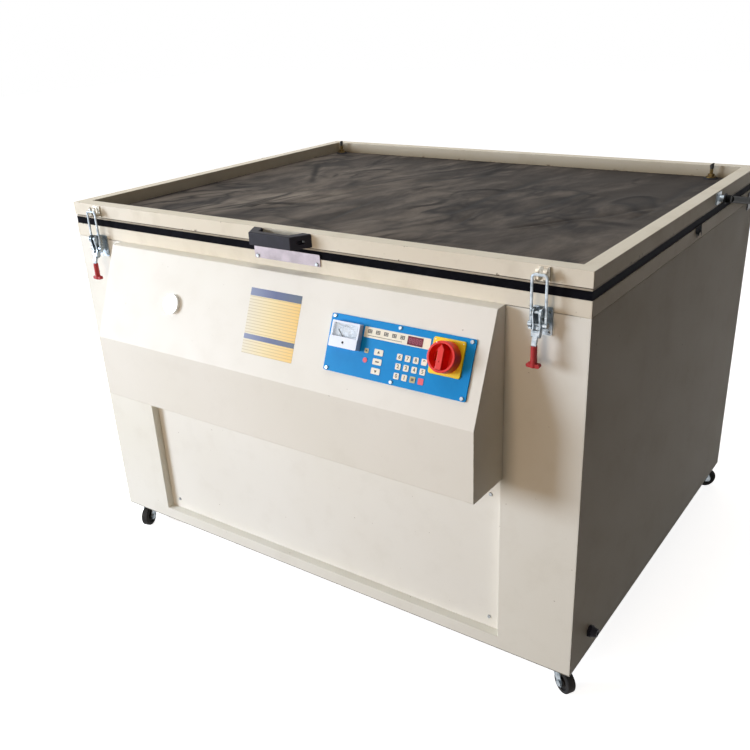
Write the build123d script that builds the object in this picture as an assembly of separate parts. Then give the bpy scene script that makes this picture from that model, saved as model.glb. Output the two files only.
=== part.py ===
from build123d import *
import math
import os

# Screen printing exposure unit: a steel cabinet on casters with a lamp under a glass bed,
# a hinged vacuum lid with a rubber blanket over it, and a sloping control console in front.
# Millimetres, +Z up, origin on the floor under the middle of the outline.
# The pieces are laid out with y = 0 on the cabinet's front face; `place` moves them to the origin.

# ---------------------------------------------------------------- driving dimensions
# fits
pivot_clearance = 0.05    # radial, between a pin and its bore
side_clearance = 0.3      # between moving faces
hole_clearance = 0.5      # round a neck or a barrel that passes through sheet

# cabinet
width = 1270.0            # over the side panels
depth = 1000.0            # front face to rear face
cabinet_h = 757.0         # underside to the top of the rail
sheet = 1.5               # steel sheet of panels and console
rail_w = 30.0             # square tube, across
rail_h = 28.0             # square tube, high
tube_wall = 2.0
seam_gap = 1.0            # shadow line between the panels and the top rail
glass_t = 8.0
glass_gap = 0.5           # round the glass
ledge_w = 20.0            # flat bar that carries the glass
ledge_t = 3.0

# casters, from the floor up
wheel_r = 25.0
wheel_w = 18.0
wheel_round = 3.0         # rounding of the tread's shoulders
hub_r = 7.0
web_r = 17.0              # outside of the dished web
web_dish = 3.0
wheel_gap = 1.7           # tread to fork crown
crown_t = 4.0
crown_r = 17.0
race_h = 5.0
caster_plate_t = 3.0
caster_plate_w = 52.0
caster_inset = 38.0       # kingpin from the cabinet's edges
trail = 22.0
axle_r = 4.0
axle_nut_r = 7.0
axle_nut_t = 3.0
fork_t = 2.5
fork_gap = 2.0            # wheel to fork cheek
kingpin_r = 4.0
kingpin_head_r = 6.0
kingpin_head_t = 3.0
caster_swivel = {"fl": -70.0, "fr": -30.0, "rl": 172.0, "rr": 40.0}

# seal and lid
seal_w = 24.0
seal_h = 15.0
seal_inset = 1.5
lid_gap = 0.3             # closed lid to seal
strip_t = 3.0             # flat bar that clamps the blanket
strip_w = 26.0
strip_inset = 2.0
blanket_t = 2.0
blanket_inset = 3.0
lid_tube_w = 30.0
lid_tube_h = 28.0

# vacuum nipples in the blanket's rear corners
nipple_left = 56.0        # from the cabinet's left side
nipple_right = 94.0       # from its right side
nipple_back = 50.0        # from its rear face
nipple_h = 34.0
nipple_r = 4.0
nipple_head_r = 4.8
nipple_head_h = 12.0
nipple_bore_r = 2.5
nipple_flange_r = 12.0
nipple_flange_t = 2.5
nipple_slant = 40.0       # slant of its mouth, degrees
nipple_nut_r = 8.0
nipple_nut_t = 6.0
pad_r = 17.0
pad_t = 3.0

# console
console_inset = 152.0     # from the cabinet's sides
console_depth = 107.0     # at the fold
console_ledge = 27.0      # depth of its flat top
console_fold = 192.5      # fold below the top of the console
console_h = 334.0
bend_r = 3.0
wiring_w, wiring_h = 200.0, 60.0      # hole behind the console

# control panel: its middle, from the console's right end and up the sloping face from its fold
panel_end, panel_v = 177.0, 99.0
panel_w, panel_h, panel_t = 304.0, 107.0, 3.0
panel_corner_r = 4.0
panel_screw_x, panel_screw_v = 144.5, 48.5
cut_margin = 12.0         # console sheet left under the panel's edge

# what stands on the panel, from the panel's middle
key_t = 0.6
key_pitch, key_row_pitch = 17.0, 17.0
key_size = 12.0
pad_u, pad_v = 34.5, -18.8            # middle of the number pad
wide_key_u, wide_key_w = -36.0, 20.0  # column of wide keys
mode_key_u, mode_key_size = -62.5, 9.0
mode_key_v, lamp_key_v = -2.8, -20.0
lamp_key_r = 5.0
title_u, title_v, title_w, title_h = -4.0, 30.5, 142.0, 21.0
meter_u, meter_v = -109.0, 17.0
switch_u, switch_v = 103.0, 14.5

# panel meter
meter_w, meter_h, meter_out = 62.0, 48.0, 12.0
meter_corner_r = 2.0
meter_wall = 4.0
meter_cover_h, meter_cover_t = 20.0, 1.5
meter_barrel_r, meter_barrel_l = 20.0, 27.0
meter_floor = 5.0         # dial face above the panel
meter_pane_t = 3.0
needle_v = -9.0           # needle's pivot, from the middle of the case
needle_pin_r = 1.0
meter_needle_l = 25.0
needle_t = 0.8
needle_rise = 1.5         # needle above its dial

# main switch
switch_plate_w = 64.0
switch_plate_t = 3.0
switch_plate_r = 5.0
switch_body_w, switch_body_l = 48.0, 50.0
switch_neck_r = 11.0
switch_shaft_r = 4.0
knob_r = 28.0
knob_wall = 6.0
knob_h = 24.0
knob_rim = 21.0           # height of its round wall
knob_floor = 5.0
grip_w, grip_point = 16.0, 25.0

# timer behind the panel
timer_u, timer_v = 1.0, -9.0
timer_w, timer_h, timer_l = 140.0, 56.0, 40.0
timer_flange = 5.0

# vacuum gauge on the sloping face, from the console's left end and up from its fold
gauge_end, gauge_v = 217.0, 105.0
gauge_r = 21.0
gauge_rim = 3.0
gauge_out = 8.0
gauge_body_r, gauge_body_l = 18.5, 24.0
gauge_stem_r, gauge_stem_l = 5.0, 14.0
gauge_dial = 2.5          # dial face above the sheet
gauge_lens_t = 1.5
gauge_needle_l = 15.0

# recess and access panel
recess_cover = 4.0        # the console stands past the recess at each end
recess_rise = 30.0        # lower edge above the cabinet's underside
recess_h = 410.0
recess_depth = 20.0
lip_w = 42.0              # flange behind the access panel
access_gap = 1.0
access_screw_inset = 29.0
access_screw_low = 26.0
access_screw_high = 97.0
screw_r = 4.0             # head of a dome screw
screw_h = 2.2

# front stop plate, under the handle
stop_x = 8.0
stop_w, stop_h, stop_t = 166.0, 23.5, 2.0
stop_drop = 14.0          # its lower edge below the top of the rail
stop_screw_x, stop_screw_rise = 75.0, 4.5

# lid handle
handle_back = 146.0
handle_front = 104.0
handle_out = 39.0
handle_bar = 15.0
handle_h = 26.0
handle_round = 2.5
gap_back, gap_front = 100.0, 76.0     # finger gap at the lid and at the bar
handle_screw_x = 62.0
handle_bore_r = 4.5
handle_foot = 6.0         # material under the screw's head

# hinges
hinge_inset = 205.0       # outer hinges from the cabinet's sides
hinge_offset = 7.0        # pin axis behind the rear face
knuckle_r = 6.0
hinge_pin_r = 3.0
leaf_t = 2.5
leaf_w = 70.0
leaf_h = 20.0
inner_knuckle = 24.0

# gas struts
strut_out = 22.5          # strut axis beyond the cabinet side
lid_stud_back = 332.0     # upper stud, from the rear face
strut_foot_back = 50.0    # foot stud, from the rear face
strut_foot_drop = 25.0    # foot stud below the top of the rail
strut_tube_r = 7.5
strut_bore_r = 6.0
strut_rod_r = 3.0
strut_neck_r = 4.0
strut_eye_r = 8.0
strut_eye_w = 10.0
strut_pin_r = 4.0
strut_boss_r = 7.0
strut_head_r, strut_head_t = 6.0, 2.5
strut_gland = 22.0        # foot pivot to the mouth of the tube, lid shut
strut_end = 14.0          # tube's closed end to the upper pivot
gland_wall = 8.0          # guide of the rod in the tube's mouth
piston_t = 6.0
washer_r = 11.0
washer_t = 3.0
washer_gap = 0.5          # upper eye to its washer
bracket_t = 3.0
bracket_w, bracket_h = 28.0, 40.0     # plate of the foot stud
boss_plate_w, boss_plate_h = 30.0, 24.0

# latches; distances out are from the cabinet's front face
latch_inset = 83.0        # from the cabinet's sides
pivot_out, pivot_drop = 23.0, 24.0    # lever's pivot, below the top of the rail
link_in, link_drop = 4.0, 22.0        # bail's pivot, from the lever's pivot
latch_pin_r = 2.5
link_pin_r = 3.0
latch_plate_w, latch_plate_t = 35.0, 2.5
latch_hole_r = 2.2
ear_inner = 7.7
ear_t = 2.0
ear_r = 8.0
rivet_r, rivet_h = 4.0, 0.5
cheek_t = 2.5
strap_half, strap_t = 4.0, 5.0
strap_out = 8.0           # grip's axis beyond the lever's pivot
grip_r = 6.0
grip_l = 37.0
grip_drop = 92.0          # end of the grip below the lever's pivot
grip_wing_w, grip_wing_t = 24.0, 9.0
bail_half = 13.0
bail_r = 2.5
bail_bend_r = 6.0
bail_barrel_r = 5.0
bail_nut_r, bail_nut_t = 4.6, 3.0
keeper_half = 10.0
keeper_gap_half = 4.0     # half the slot between its prongs
keeper_t = 3.0
keeper_h = 24.0
keeper_rise = 2.0         # above the lid frame's underside
keeper_nose = 16.0
bar_rise = 14.2           # bail's crossbar above the keeper's lower edge

# cable gland on the right side
gland_y, gland_rise = 89.0, 51.0
gland_r = 8.0
gland_bore_r = 4.5
gland_hex = 7.0           # thickness of its hexagon
gland_nose = 11.0
gland_nut = 6.0           # lock nut inside the panel

# lamp and reflector
reflector_rise = 60.0     # its floor above the base pan
reflector_w, reflector_d = 300.0, 160.0
reflector_h, reflector_flare = 120.0, 110.0
lamp_rise = 45.0
lamp_r = 11.0
lamp_cap_r = 14.0
lamp_cap_l = 30.0         # ceramic end inside the reflector
lamp_stick_out = 18.0

# ballast, pump and fan
ballast_inset, ballast_y = 235.0, 300.0
ballast_w, ballast_d, ballast_h = 150.0, 90.0, 110.0
coil_w, coil_d, coil_h = 96.0, 140.0, 77.0
ballast_lug = 20.0
ballast_foot_t = 4.0
pump_inset, pump_y = 305.0, 320.0     # face between the pump and its motor
pump_axis = 75.0          # above the base pan
pump_motor_r, pump_motor_l = 62.0, 170.0
pump_head_w, pump_head_d, pump_head_h = 90.0, 120.0, 110.0
pump_neck_r, pump_neck_l = 50.0, 40.0
pump_port_r, pump_port_l = 9.0, 30.0
fan_size = 120.0
fan_t = 38.0
fan_rise = 300.0          # its axis above the cabinet's underside
fan_wall = 4.0
fan_hub_r = 22.0
fan_shaft_r = 3.0
fan_plate_t = 6.0
blade_count = 5
blade_w, blade_t, blade_pitch = 34.0, 2.0, 38.0
louvre_h, louvre_pitch = 6.0, 12.0
vent_inset, vent_rise, vent_w, vent_rows = 315.0, 90.0, 180.0, 8

# ---------------------------------------------------------------- derived places
crown_low = 2 * wheel_r + wheel_gap
crown_top = crown_low + crown_t
race_low = crown_top + side_clearance
plate_low = race_low + race_h
caster_h = plate_low + caster_plate_t         # floor to the cabinet's underside

top = caster_h + cabinet_h
seam = top - rail_h
mid_y = depth / 2
side = width / 2
base_top = caster_h + rail_h
pan_top = base_top + sheet
panel_top = seam - seam_gap

console_w = width - 2 * console_inset
recess_w = console_w - 2 * recess_cover
panel_x = console_w / 2 - panel_end
gauge_x = gauge_end - console_w / 2
latch_x = side - latch_inset
hinge_x = side - hinge_inset
vent_x = side - vent_inset

strip_low = top + seal_h + lid_gap
blanket_low = strip_low + strip_t
lid_low = blanket_low + blanket_t
lid_top = lid_low + lid_tube_h
hinge_y = depth + hinge_offset
hinge_z = (top + lid_low) / 2
nipple_xs = (nipple_left - side, side - nipple_right)
nipple_y = depth - nipple_back

console_top = seam
console_crease = console_top - console_fold
console_low = console_top - console_h
slope = math.atan2(console_depth - console_ledge, console_fold)
recess_low = caster_h + recess_rise
recess_top = recess_low + recess_h

link_out = pivot_out - link_in
pivot_z = top - pivot_drop
link_z = pivot_z - link_drop
keeper_low = lid_low + keeper_rise
latch_bar = keeper_low + bar_rise
ear_outer = ear_inner + ear_t

strut_foot_y = depth - strut_foot_back
strut_foot_z = top - strut_foot_drop
lid_stud_y = depth - lid_stud_back
ballast_x = ballast_inset - side
pump_x = side - pump_inset
gland_z = caster_h + gland_rise
gland_length = gland_nut + sheet + gland_hex + gland_nose
reflector_low = pan_top + reflector_rise
fan_z = caster_h + fan_rise

front_y = -(depth + hinge_offset + knuckle_r - console_depth) / 2
place = Pos(0, front_y, 0)

os.makedirs("parts", exist_ok=True)


# ---------------------------------------------------------------- helpers
def block(x, y, z):
    """Box that spans the pairs x, y and z."""
    spans = (x, y, z)
    sizes = [high - low for low, high in spans]
    middle = [(high + low) / 2 for low, high in spans]
    return Pos(*middle) * Box(*sizes)


def rod(start, end, radius):
    """Round bar between two points."""
    along = Vector(*end) - Vector(*start)
    plane = Plane(origin=start, z_dir=along)
    return plane * extrude(Circle(radius), along.length)


def cross_rod(x_low, x_high, out, z, radius):
    """Round bar across the machine, at a distance out from its front face."""
    return rod((x_low, -out, z), (x_high, -out, z), radius)


def side_profile(points, x_low, x_high):
    """Flat piece cut from (distance out, height) points and spanning x_low to x_high."""
    face = make_face(Polyline(*[(-out, high) for out, high in points], close=True))
    return Pos(x_low, 0, 0) * extrude(Plane.YZ * face, x_high - x_low)


def link(start, end, radius, x_low, x_high):
    """Round-ended flat link between two (distance out, height) points."""
    (a, b), (c, d) = start, end
    length = math.hypot(c - a, d - b)
    side_out, side_up = (b - d) / length * radius, (c - a) / length * radius
    web = [(a + side_out, b + side_up), (c + side_out, d + side_up),
           (c - side_out, d - side_up), (a - side_out, b - side_up)]
    body = side_profile(web, x_low, x_high)
    for out, high in (start, end):
        body += cross_rod(x_low, x_high, out, high, radius)
    return body


def group(*pieces):
    """Separate solids that belong to one node."""
    solids = []
    for piece in pieces:
        solids += piece.solids()
    return Compound(solids)


def both_sides(piece):
    """The piece and its mirror image on the other side of the machine."""
    return group(piece, mirror(piece, about=Plane.YZ))


def mitred_bars(w, d, bar, low, high, wall=0.0):
    """Four bars round a rectangle, mitred at its corners, hollow when a wall is given."""
    outer = [(-w / 2, -d / 2), (w / 2, -d / 2), (w / 2, d / 2), (-w / 2, d / 2)]
    inner = [(x - math.copysign(bar, x), y - math.copysign(bar, y)) for x, y in outer]
    outward = ((0, -1), (1, 0), (0, 1), (-1, 0))
    bars = []
    for i in range(4):
        j = (i + 1) % 4
        face = make_face(Polyline(outer[i], outer[j], inner[j], inner[i], close=True))
        solid = extrude(face, high - low)
        if wall:
            across = bar - 2 * wall
            core = Box(w, across, high - low - 2 * wall) if i % 2 == 0 else Box(
                across, d, high - low - 2 * wall)
            x, y = outward[i]
            solid -= Pos(x * (w - bar) / 2, y * (d - bar) / 2, (high - low) / 2) * core
        bars.append(Pos(0, mid_y, low) * solid)
    return group(*bars)


def save(name, shape):
    """Move a finished piece to the origin and write its STEP file."""
    export_step(place * shape, f"parts/{name}.step")


# ---------------------------------------------------------------- cabinet frame
post_x = side - sheet - rail_w / 2
post_places = [Pos(x, y, 0) for x in (-post_x, post_x)
               for y in (sheet + rail_w / 2, depth - sheet - rail_w / 2)]
half = rail_w / 2
bore_half = half - tube_wall
post = block((-half, half), (-half, half), (base_top, seam))
post -= block((-bore_half, bore_half), (-bore_half, bore_half), (base_top, seam))
base_rails = mitred_bars(width - 2 * sheet, depth - 2 * sheet, rail_w, caster_h, base_top, tube_wall)
save("base_frame", group(base_rails, *[spot * post for spot in post_places]))

pan = block((-side + sheet, side - sheet), (sheet, depth - sheet), (base_top, pan_top))
post_core = block((-half, half), (-half, half), (base_top - sheet, seam))
for spot in post_places:
    pan -= spot * post_core
tray_half = recess_w / 2 + sheet
tray_back = recess_depth + sheet
pan -= block((-tray_half, tray_half), (0, tray_back), (base_top, pan_top))
save("base_pan", pan)

ledge_top = top - glass_t
rails = mitred_bars(width, depth, rail_w, seam, top, tube_wall)
ledges = mitred_bars(width - 2 * rail_w, depth - 2 * rail_w, ledge_w, ledge_top - ledge_t, ledge_top)
save("top_rail_frame", group(rails, ledges))

# ---------------------------------------------------------------- cabinet panels
inner_face = side - sheet
skin = block((inner_face, side), (0, depth), (caster_h, panel_top))
gland_hole = rod((inner_face - sheet, gland_y, gland_z), (side + sheet, gland_y, gland_z), gland_r)
save("side_panels", group(skin - gland_hole, mirror(skin, about=Plane.YZ)))

# front panel: a folded sheet with a recessed tray and a flange round the tray's window
front = block((-inner_face, inner_face), (0, sheet), (caster_h, panel_top))
front += block((-tray_half, tray_half), (0, tray_back), (recess_low - sheet, recess_top + sheet))
front -= block((-recess_w / 2, recess_w / 2), (-sheet, recess_depth), (recess_low, recess_top))
window_half = recess_w / 2 - lip_w
front -= block((-window_half, window_half), (0, 2 * tray_back), (recess_low + lip_w, recess_top - lip_w))
front -= block((panel_x - wiring_w / 2, panel_x + wiring_w / 2), (-sheet, 2 * sheet),
               (console_crease, console_crease + wiring_h))
save("front_panel", front)

access_half = recess_w / 2 - access_gap
access_front = recess_depth - sheet
save("access_panel", block((-access_half, access_half), (access_front, recess_depth),
                           (recess_low + access_gap, recess_top - access_gap)))

# rear panel: a round field of slots over the fan and two fields of vent slots
rear = block((-inner_face, inner_face), (depth - sheet, depth), (caster_h, panel_top))
fan_r = fan_size / 2 - fan_wall
slot_rows = int((fan_r - louvre_h) // louvre_pitch)
for i in range(-slot_rows, slot_rows + 1):
    rise = i * louvre_pitch
    chord = 2 * math.sqrt(fan_r ** 2 - (abs(rise) + louvre_h / 2) ** 2)
    rear -= Pos(0, depth, fan_z + rise) * Box(chord, 4 * sheet, louvre_h)
for x in (-vent_x, vent_x):
    for i in range(vent_rows):
        rise = vent_rise + i * 1.5 * louvre_pitch
        rear -= Pos(x, depth, caster_h + rise) * Box(vent_w, 4 * sheet, louvre_h)
save("rear_panel", rear)

# ---------------------------------------------------------------- glass bed and rim seal
glass_w = width - 2 * rail_w - 2 * glass_gap
glass_d = depth - 2 * rail_w - 2 * glass_gap
save("glass_plate", Pos(0, mid_y, top - glass_t / 2) * Box(glass_w, glass_d, glass_t))
save("rim_seal", mitred_bars(width - 2 * seal_inset, depth - 2 * seal_inset, seal_w, top, top + seal_h))

# ---------------------------------------------------------------- console
profile = [(0, console_low), (console_depth, console_low), (console_depth, console_crease),
           (console_ledge, console_top), (0, console_top)]
console = side_profile(profile, -console_w / 2, console_w / 2)
folds = [edge for edge in console.edges().filter_by(Axis.X) if edge.center().Y < -sheet]
console = fillet(folds, bend_r)
console = offset(console, amount=-sheet, openings=console.faces().sort_by(Axis.Y)[-1])

slope_plane = Plane(origin=(0, -console_depth, console_crease), x_dir=(1, 0, 0),
                    z_dir=(0, -math.cos(slope), math.sin(slope)))


def on_slope(x, v, out=0.0):
    """Place on the console's sloping face: x across, v up the slope, out from the sheet."""
    return slope_plane * Pos(x, v, out)


def on_panel(u, v, out=panel_t):
    """Place on the control panel, from its middle."""
    return on_slope(panel_x + u, panel_v + v, out)


through = 4 * panel_t
cut_out = on_panel(0, 0) * Box(panel_w - 2 * cut_margin, panel_h - 2 * cut_margin, 2 * through)
gauge_hole = on_slope(gauge_x, gauge_v) * Cylinder(gauge_body_r + hole_clearance, 2 * through)
save("console_housing", console - cut_out - gauge_hole)

# control panel: a plate with a membrane overlay, its keys and title strip raised on it
plate = extrude(RectangleRounded(panel_w, panel_h, panel_corner_r), panel_t)
plate -= Pos(meter_u, meter_v) * Cylinder(meter_barrel_r + hole_clearance, through)
plate -= Pos(switch_u, switch_v) * Cylinder(switch_neck_r + hole_clearance, through)
key = RectangleRounded(key_size, key_size, 2)
wide_key = RectangleRounded(wide_key_w, key_size, 2)
keys = Sketch()
for row in (-1, 0, 1):
    v = pad_v + row * key_row_pitch
    for column in range(4):
        keys += Pos(pad_u + (column - 1.5) * key_pitch, v) * key
    keys += Pos(wide_key_u, v) * wide_key
keys += Pos(mode_key_u, mode_key_v) * RectangleRounded(mode_key_size, mode_key_size, 1.5)
keys += Pos(mode_key_u, lamp_key_v) * Circle(lamp_key_r)
keys += Pos(title_u, title_v) * RectangleRounded(title_w, title_h, 2)
plate += Pos(0, 0, panel_t) * extrude(keys, key_t)
save("control_panel", on_panel(0, 0, 0) * plate)

timer = Pos(0, 0, -timer_l / 2) * Box(timer_w, timer_h, timer_l)
timer += Pos(0, 0, -sheet / 2) * Box(timer_w + 2 * timer_flange, timer_h + 2, sheet)
save("timer_module", on_panel(timer_u, timer_v, 0) * timer)

# dome screws: six in the control panel, four in the access panel, two in the stop plate
dome = extrude(Circle(screw_r), screw_h, taper=20)
front_dome = Plane.XZ * dome
stop_low = top - stop_drop
screws = []
for u in (-panel_screw_x, 0, panel_screw_x):
    for v in (-panel_screw_v, panel_screw_v):
        screws.append(on_panel(u, v) * dome)
access_screw_x = recess_w / 2 - access_screw_inset
for z in (recess_low + access_screw_low, recess_top - access_screw_high):
    for x in (-access_screw_x, access_screw_x):
        screws.append(Pos(x, access_front, z) * front_dome)
for x in (stop_x - stop_screw_x, stop_x + stop_screw_x):
    screws.append(Pos(x, -stop_t, stop_low + stop_screw_rise) * front_dome)
save("panel_screws", group(*screws))

stop_plate = block((stop_x - stop_w / 2, stop_x + stop_w / 2), (-stop_t, 0), (stop_low, stop_low + stop_h))
save("front_stop_plate", fillet(stop_plate.edges().filter_by(Axis.Y), stop_t))


# ---------------------------------------------------------------- panel meter
def pointer(length, hub_r, thickness, pin_l):
    """Balanced needle along +Y, on a pin that goes down into its bearing."""
    tail = 2.4 * hub_r
    blade = make_face(Polyline((-0.7, 0), (-0.3, length), (0.3, length), (0.7, 0),
                               (hub_r, -tail), (-hub_r, -tail), close=True))
    body = extrude(blade + Circle(hub_r), thickness)
    return body + Pos(0, 0, -pin_l) * extrude(Circle(needle_pin_r), pin_l)


meter = on_panel(meter_u, meter_v)
pane_low = meter_out - meter_pane_t
cover_top = meter_cover_h - meter_h / 2
opening_half = meter_w / 2 - meter_wall
opening_top = meter_h / 2 - meter_wall
dial_low = needle_v - 8.0
case = extrude(RectangleRounded(meter_w, meter_h, meter_corner_r), meter_out)
cover = RectangleRounded(meter_w, meter_cover_h, meter_corner_r)
case += Pos(0, cover_top - meter_cover_h / 2, meter_out) * extrude(cover, meter_cover_t)
case -= block((-opening_half, opening_half), (dial_low, opening_top), (meter_floor, pane_low))
case -= block((-opening_half, opening_half), (cover_top, opening_top), (pane_low, meter_out))
case += Pos(0, 0, -meter_barrel_l - panel_t) * extrude(Circle(meter_barrel_r), meter_barrel_l + panel_t)
case -= Pos(0, needle_v) * Cylinder(needle_pin_r + pivot_clearance, 2 * meter_floor)
save("meter_case", meter * case)
pane_half = opening_half - side_clearance
pane = block((-pane_half, pane_half), (cover_top + side_clearance, opening_top - side_clearance),
             (pane_low, meter_out))
meter_needle = Rot(0, 0, 45) * pointer(meter_needle_l, 2.5, needle_t, needle_rise + 3)
save("meter_needle", meter * Pos(0, needle_v, meter_floor + needle_rise) * meter_needle)

# ---------------------------------------------------------------- vacuum gauge
gauge = on_slope(gauge_x, gauge_v)
gauge_case = extrude(Circle(gauge_r), gauge_out)
gauge_case = fillet(gauge_case.edges().sort_by(Axis.Z)[-1], gauge_rim / 2)
gauge_case += Pos(0, 0, -gauge_body_l) * extrude(Circle(gauge_body_r), gauge_body_l)
gauge_case += Pos(0, 0, -gauge_body_l - gauge_stem_l) * extrude(Circle(gauge_stem_r), gauge_stem_l)
gauge_case -= Pos(0, 0, gauge_dial) * extrude(Circle(gauge_r - gauge_rim), gauge_out)
gauge_case -= Pos(0, 0, gauge_dial) * Cylinder(needle_pin_r + pivot_clearance, 10)
save("gauge_case", gauge * gauge_case)
lens_low = gauge_out - gauge_lens_t - side_clearance
gauge_lens = Pos(0, 0, lens_low) * extrude(Circle(gauge_r - gauge_rim - 0.1), gauge_lens_t)
save("instrument_windows", group(meter * pane, gauge * gauge_lens))
gauge_needle = Rot(0, 0, 135) * pointer(gauge_needle_l, 2.2, needle_t, needle_rise + 3)
save("gauge_needle", gauge * Pos(0, 0, gauge_dial + needle_rise) * gauge_needle)

# ---------------------------------------------------------------- main switch
switch = on_panel(switch_u, switch_v)
switch_plate = extrude(RectangleRounded(switch_plate_w, switch_plate_w, switch_plate_r), switch_plate_t)
switch_plate = chamfer(switch_plate.faces().sort_by(Axis.Z)[-1].edges(), 0.8)
switch_plate -= Cylinder(switch_shaft_r + hole_clearance, 4 * switch_plate_t)
save("switch_plate", switch * switch_plate)
neck_l = panel_t + 1.0
shaft_l = neck_l + 12.0
switch_body = Pos(0, 0, -neck_l - switch_body_l / 2) * Box(switch_body_w, switch_body_w, switch_body_l)
switch_body += Pos(0, 0, -neck_l) * extrude(Circle(switch_neck_r), neck_l)
switch_body -= Pos(0, 0, -shaft_l - 4) * extrude(Circle(switch_shaft_r + pivot_clearance), shaft_l + 4)
save("switch_body", switch * switch_body)

# knob: a dish with a pointed grip across it and two padlock slots in its floor
dish = extrude(Circle(knob_r), knob_rim, taper=2)
dish = fillet(dish.faces().sort_by(Axis.Z)[-1].edges(), 1.5)
bowl = Pos(0, 0, knob_floor) * extrude(Circle(knob_r - knob_wall), knob_rim, taper=-4)
shoulder = knob_r / 2
grip_outline = make_face(Polyline((-grip_w / 2, -grip_point + 1), (grip_w / 2, -grip_point + 1),
                                  (grip_w / 2, shoulder), (0, grip_point), (-grip_w / 2, shoulder), close=True))
grip = extrude(grip_outline, knob_h, taper=5)
grip = fillet(grip.faces().sort_by(Axis.Z)[-1].edges(), 1.2)
knob = dish - bowl + grip
padlock_slot = Box(5, 16, 4 * knob_floor)
slot_x = (grip_w / 2 + knob_r - knob_wall) / 2 + 2
knob -= Pos(slot_x, 0, 0) * padlock_slot
knob -= Pos(-slot_x, 0, 0) * padlock_slot
knob -= Pos(0, -grip_w / 2, knob_h) * Cylinder(1.6, 3)
knob_lift = switch_plate_t + side_clearance
knob += Pos(0, 0, -knob_lift - shaft_l) * extrude(Circle(switch_shaft_r), knob_lift + shaft_l)
save("switch_knob", switch * Pos(0, 0, knob_lift) * knob)

# ---------------------------------------------------------------- cable gland
gland_start = inner_face - gland_nut
gland = rod((gland_start, gland_y, gland_z), (side, gland_y, gland_z), gland_r)
gland += rod((gland_start, gland_y, gland_z), (inner_face, gland_y, gland_z), gland_r + 4)
hexagon = Plane(origin=(side, gland_y, gland_z), z_dir=(1, 0, 0)) * RegularPolygon(gland_r + 5, 6)
gland += extrude(hexagon, gland_hex)
nose = Plane(origin=(side + gland_hex, gland_y, gland_z), z_dir=(1, 0, 0)) * Circle(gland_r + 3)
gland += extrude(nose, gland_nose, taper=15)
gland -= rod((gland_start - gland_nut, gland_y, gland_z), (side + gland_length, gland_y, gland_z), gland_bore_r)
save("cable_gland", gland)

# ---------------------------------------------------------------- lamp and its reflector
# trough of bent sheet, seen from the side: floor, two flared walls, and an end plate at each end
trough_low = [(-mid_y - reflector_d / 2, reflector_low), (-mid_y + reflector_d / 2, reflector_low)]
mouth_half = reflector_d / 2 + reflector_flare
mouth_z = reflector_low + reflector_h
trough_high = [(-mid_y + mouth_half, mouth_z), (-mid_y - mouth_half, mouth_z)]
outside = side_profile(trough_low + trough_high, -reflector_w / 2, reflector_w / 2)
wall_lean = math.atan2(reflector_flare, reflector_h)
inset = sheet / math.cos(wall_lean) - sheet * math.tan(wall_lean)
inside = [(trough_low[0][0] + inset, reflector_low + sheet), (trough_low[1][0] - inset, reflector_low + sheet),
          (trough_high[0][0] - inset, mouth_z + sheet), (trough_high[1][0] + inset, mouth_z + sheet)]
lamp_z = reflector_low + lamp_rise
end_plates = []
lamp_hole = rod((-side, mid_y, lamp_z), (side, mid_y, lamp_z), lamp_cap_r + side_clearance)
for x in (-reflector_w / 2 - sheet, reflector_w / 2):
    end_plates.append(side_profile(trough_low + trough_high, x, x + sheet) - lamp_hole)
legs = []
for x in (-reflector_w / 2 + 10, reflector_w / 2 - 10):
    legs.append(block((x - 10, x + 10), (mid_y - reflector_d / 3, mid_y + reflector_d / 3),
                      (pan_top, reflector_low)))
trough = outside - side_profile(inside, -reflector_w / 2, reflector_w / 2)
save("reflector", group(trough, *end_plates, *legs))

glow_half = reflector_w / 2 - lamp_cap_l
cap_end = reflector_w / 2 + lamp_stick_out
lamp = cross_rod(-glow_half, glow_half, -mid_y, lamp_z, lamp_r)
lamp += cross_rod(-cap_end, -glow_half, -mid_y, lamp_z, lamp_cap_r)
lamp += cross_rod(glow_half, cap_end, -mid_y, lamp_z, lamp_cap_r)
save("uv_lamp", lamp)

# ---------------------------------------------------------------- ballast and vacuum pump
ballast = Pos(0, 0, ballast_h / 2) * Box(ballast_w, ballast_d, ballast_h)
coil = Pos(0, 0, ballast_h / 2) * Box(coil_w, coil_d, coil_h)
ballast += fillet(coil.edges().filter_by(Axis.Y), coil_h / 10)
ballast += Pos(0, 0, ballast_foot_t / 2) * Box(ballast_w + 2 * ballast_lug, ballast_d, ballast_foot_t)
save("ballast", Pos(ballast_x, ballast_y, pan_top) * ballast)

pump_z = pan_top + pump_axis
motor_end = pump_x + pump_motor_l
head_end = pump_x - pump_neck_l
pump = cross_rod(pump_x, motor_end, -pump_y, pump_z, pump_motor_r)
pump += cross_rod(motor_end, motor_end + 18, -pump_y, pump_z, pump_motor_r - 10)
pump += cross_rod(head_end, pump_x, -pump_y, pump_z, pump_neck_r)
pump += Pos(head_end - pump_head_w / 2, pump_y, pump_z) * Box(pump_head_w, pump_head_d, pump_head_h)
port_x = head_end - 0.7 * pump_head_w
port_low = pump_z + pump_head_h / 2
pump += rod((port_x, pump_y, port_low), (port_x, pump_y, port_low + pump_port_l), pump_port_r)
foot_h = pump_axis - pump_neck_r / 2
for x in (head_end - pump_head_w / 3, motor_end - 40):
    pump += block((x - 12, x + 12), (pump_y - pump_motor_r, pump_y + pump_motor_r), (pan_top, pan_top + foot_h))
save("vacuum_pump", pump)

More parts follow.
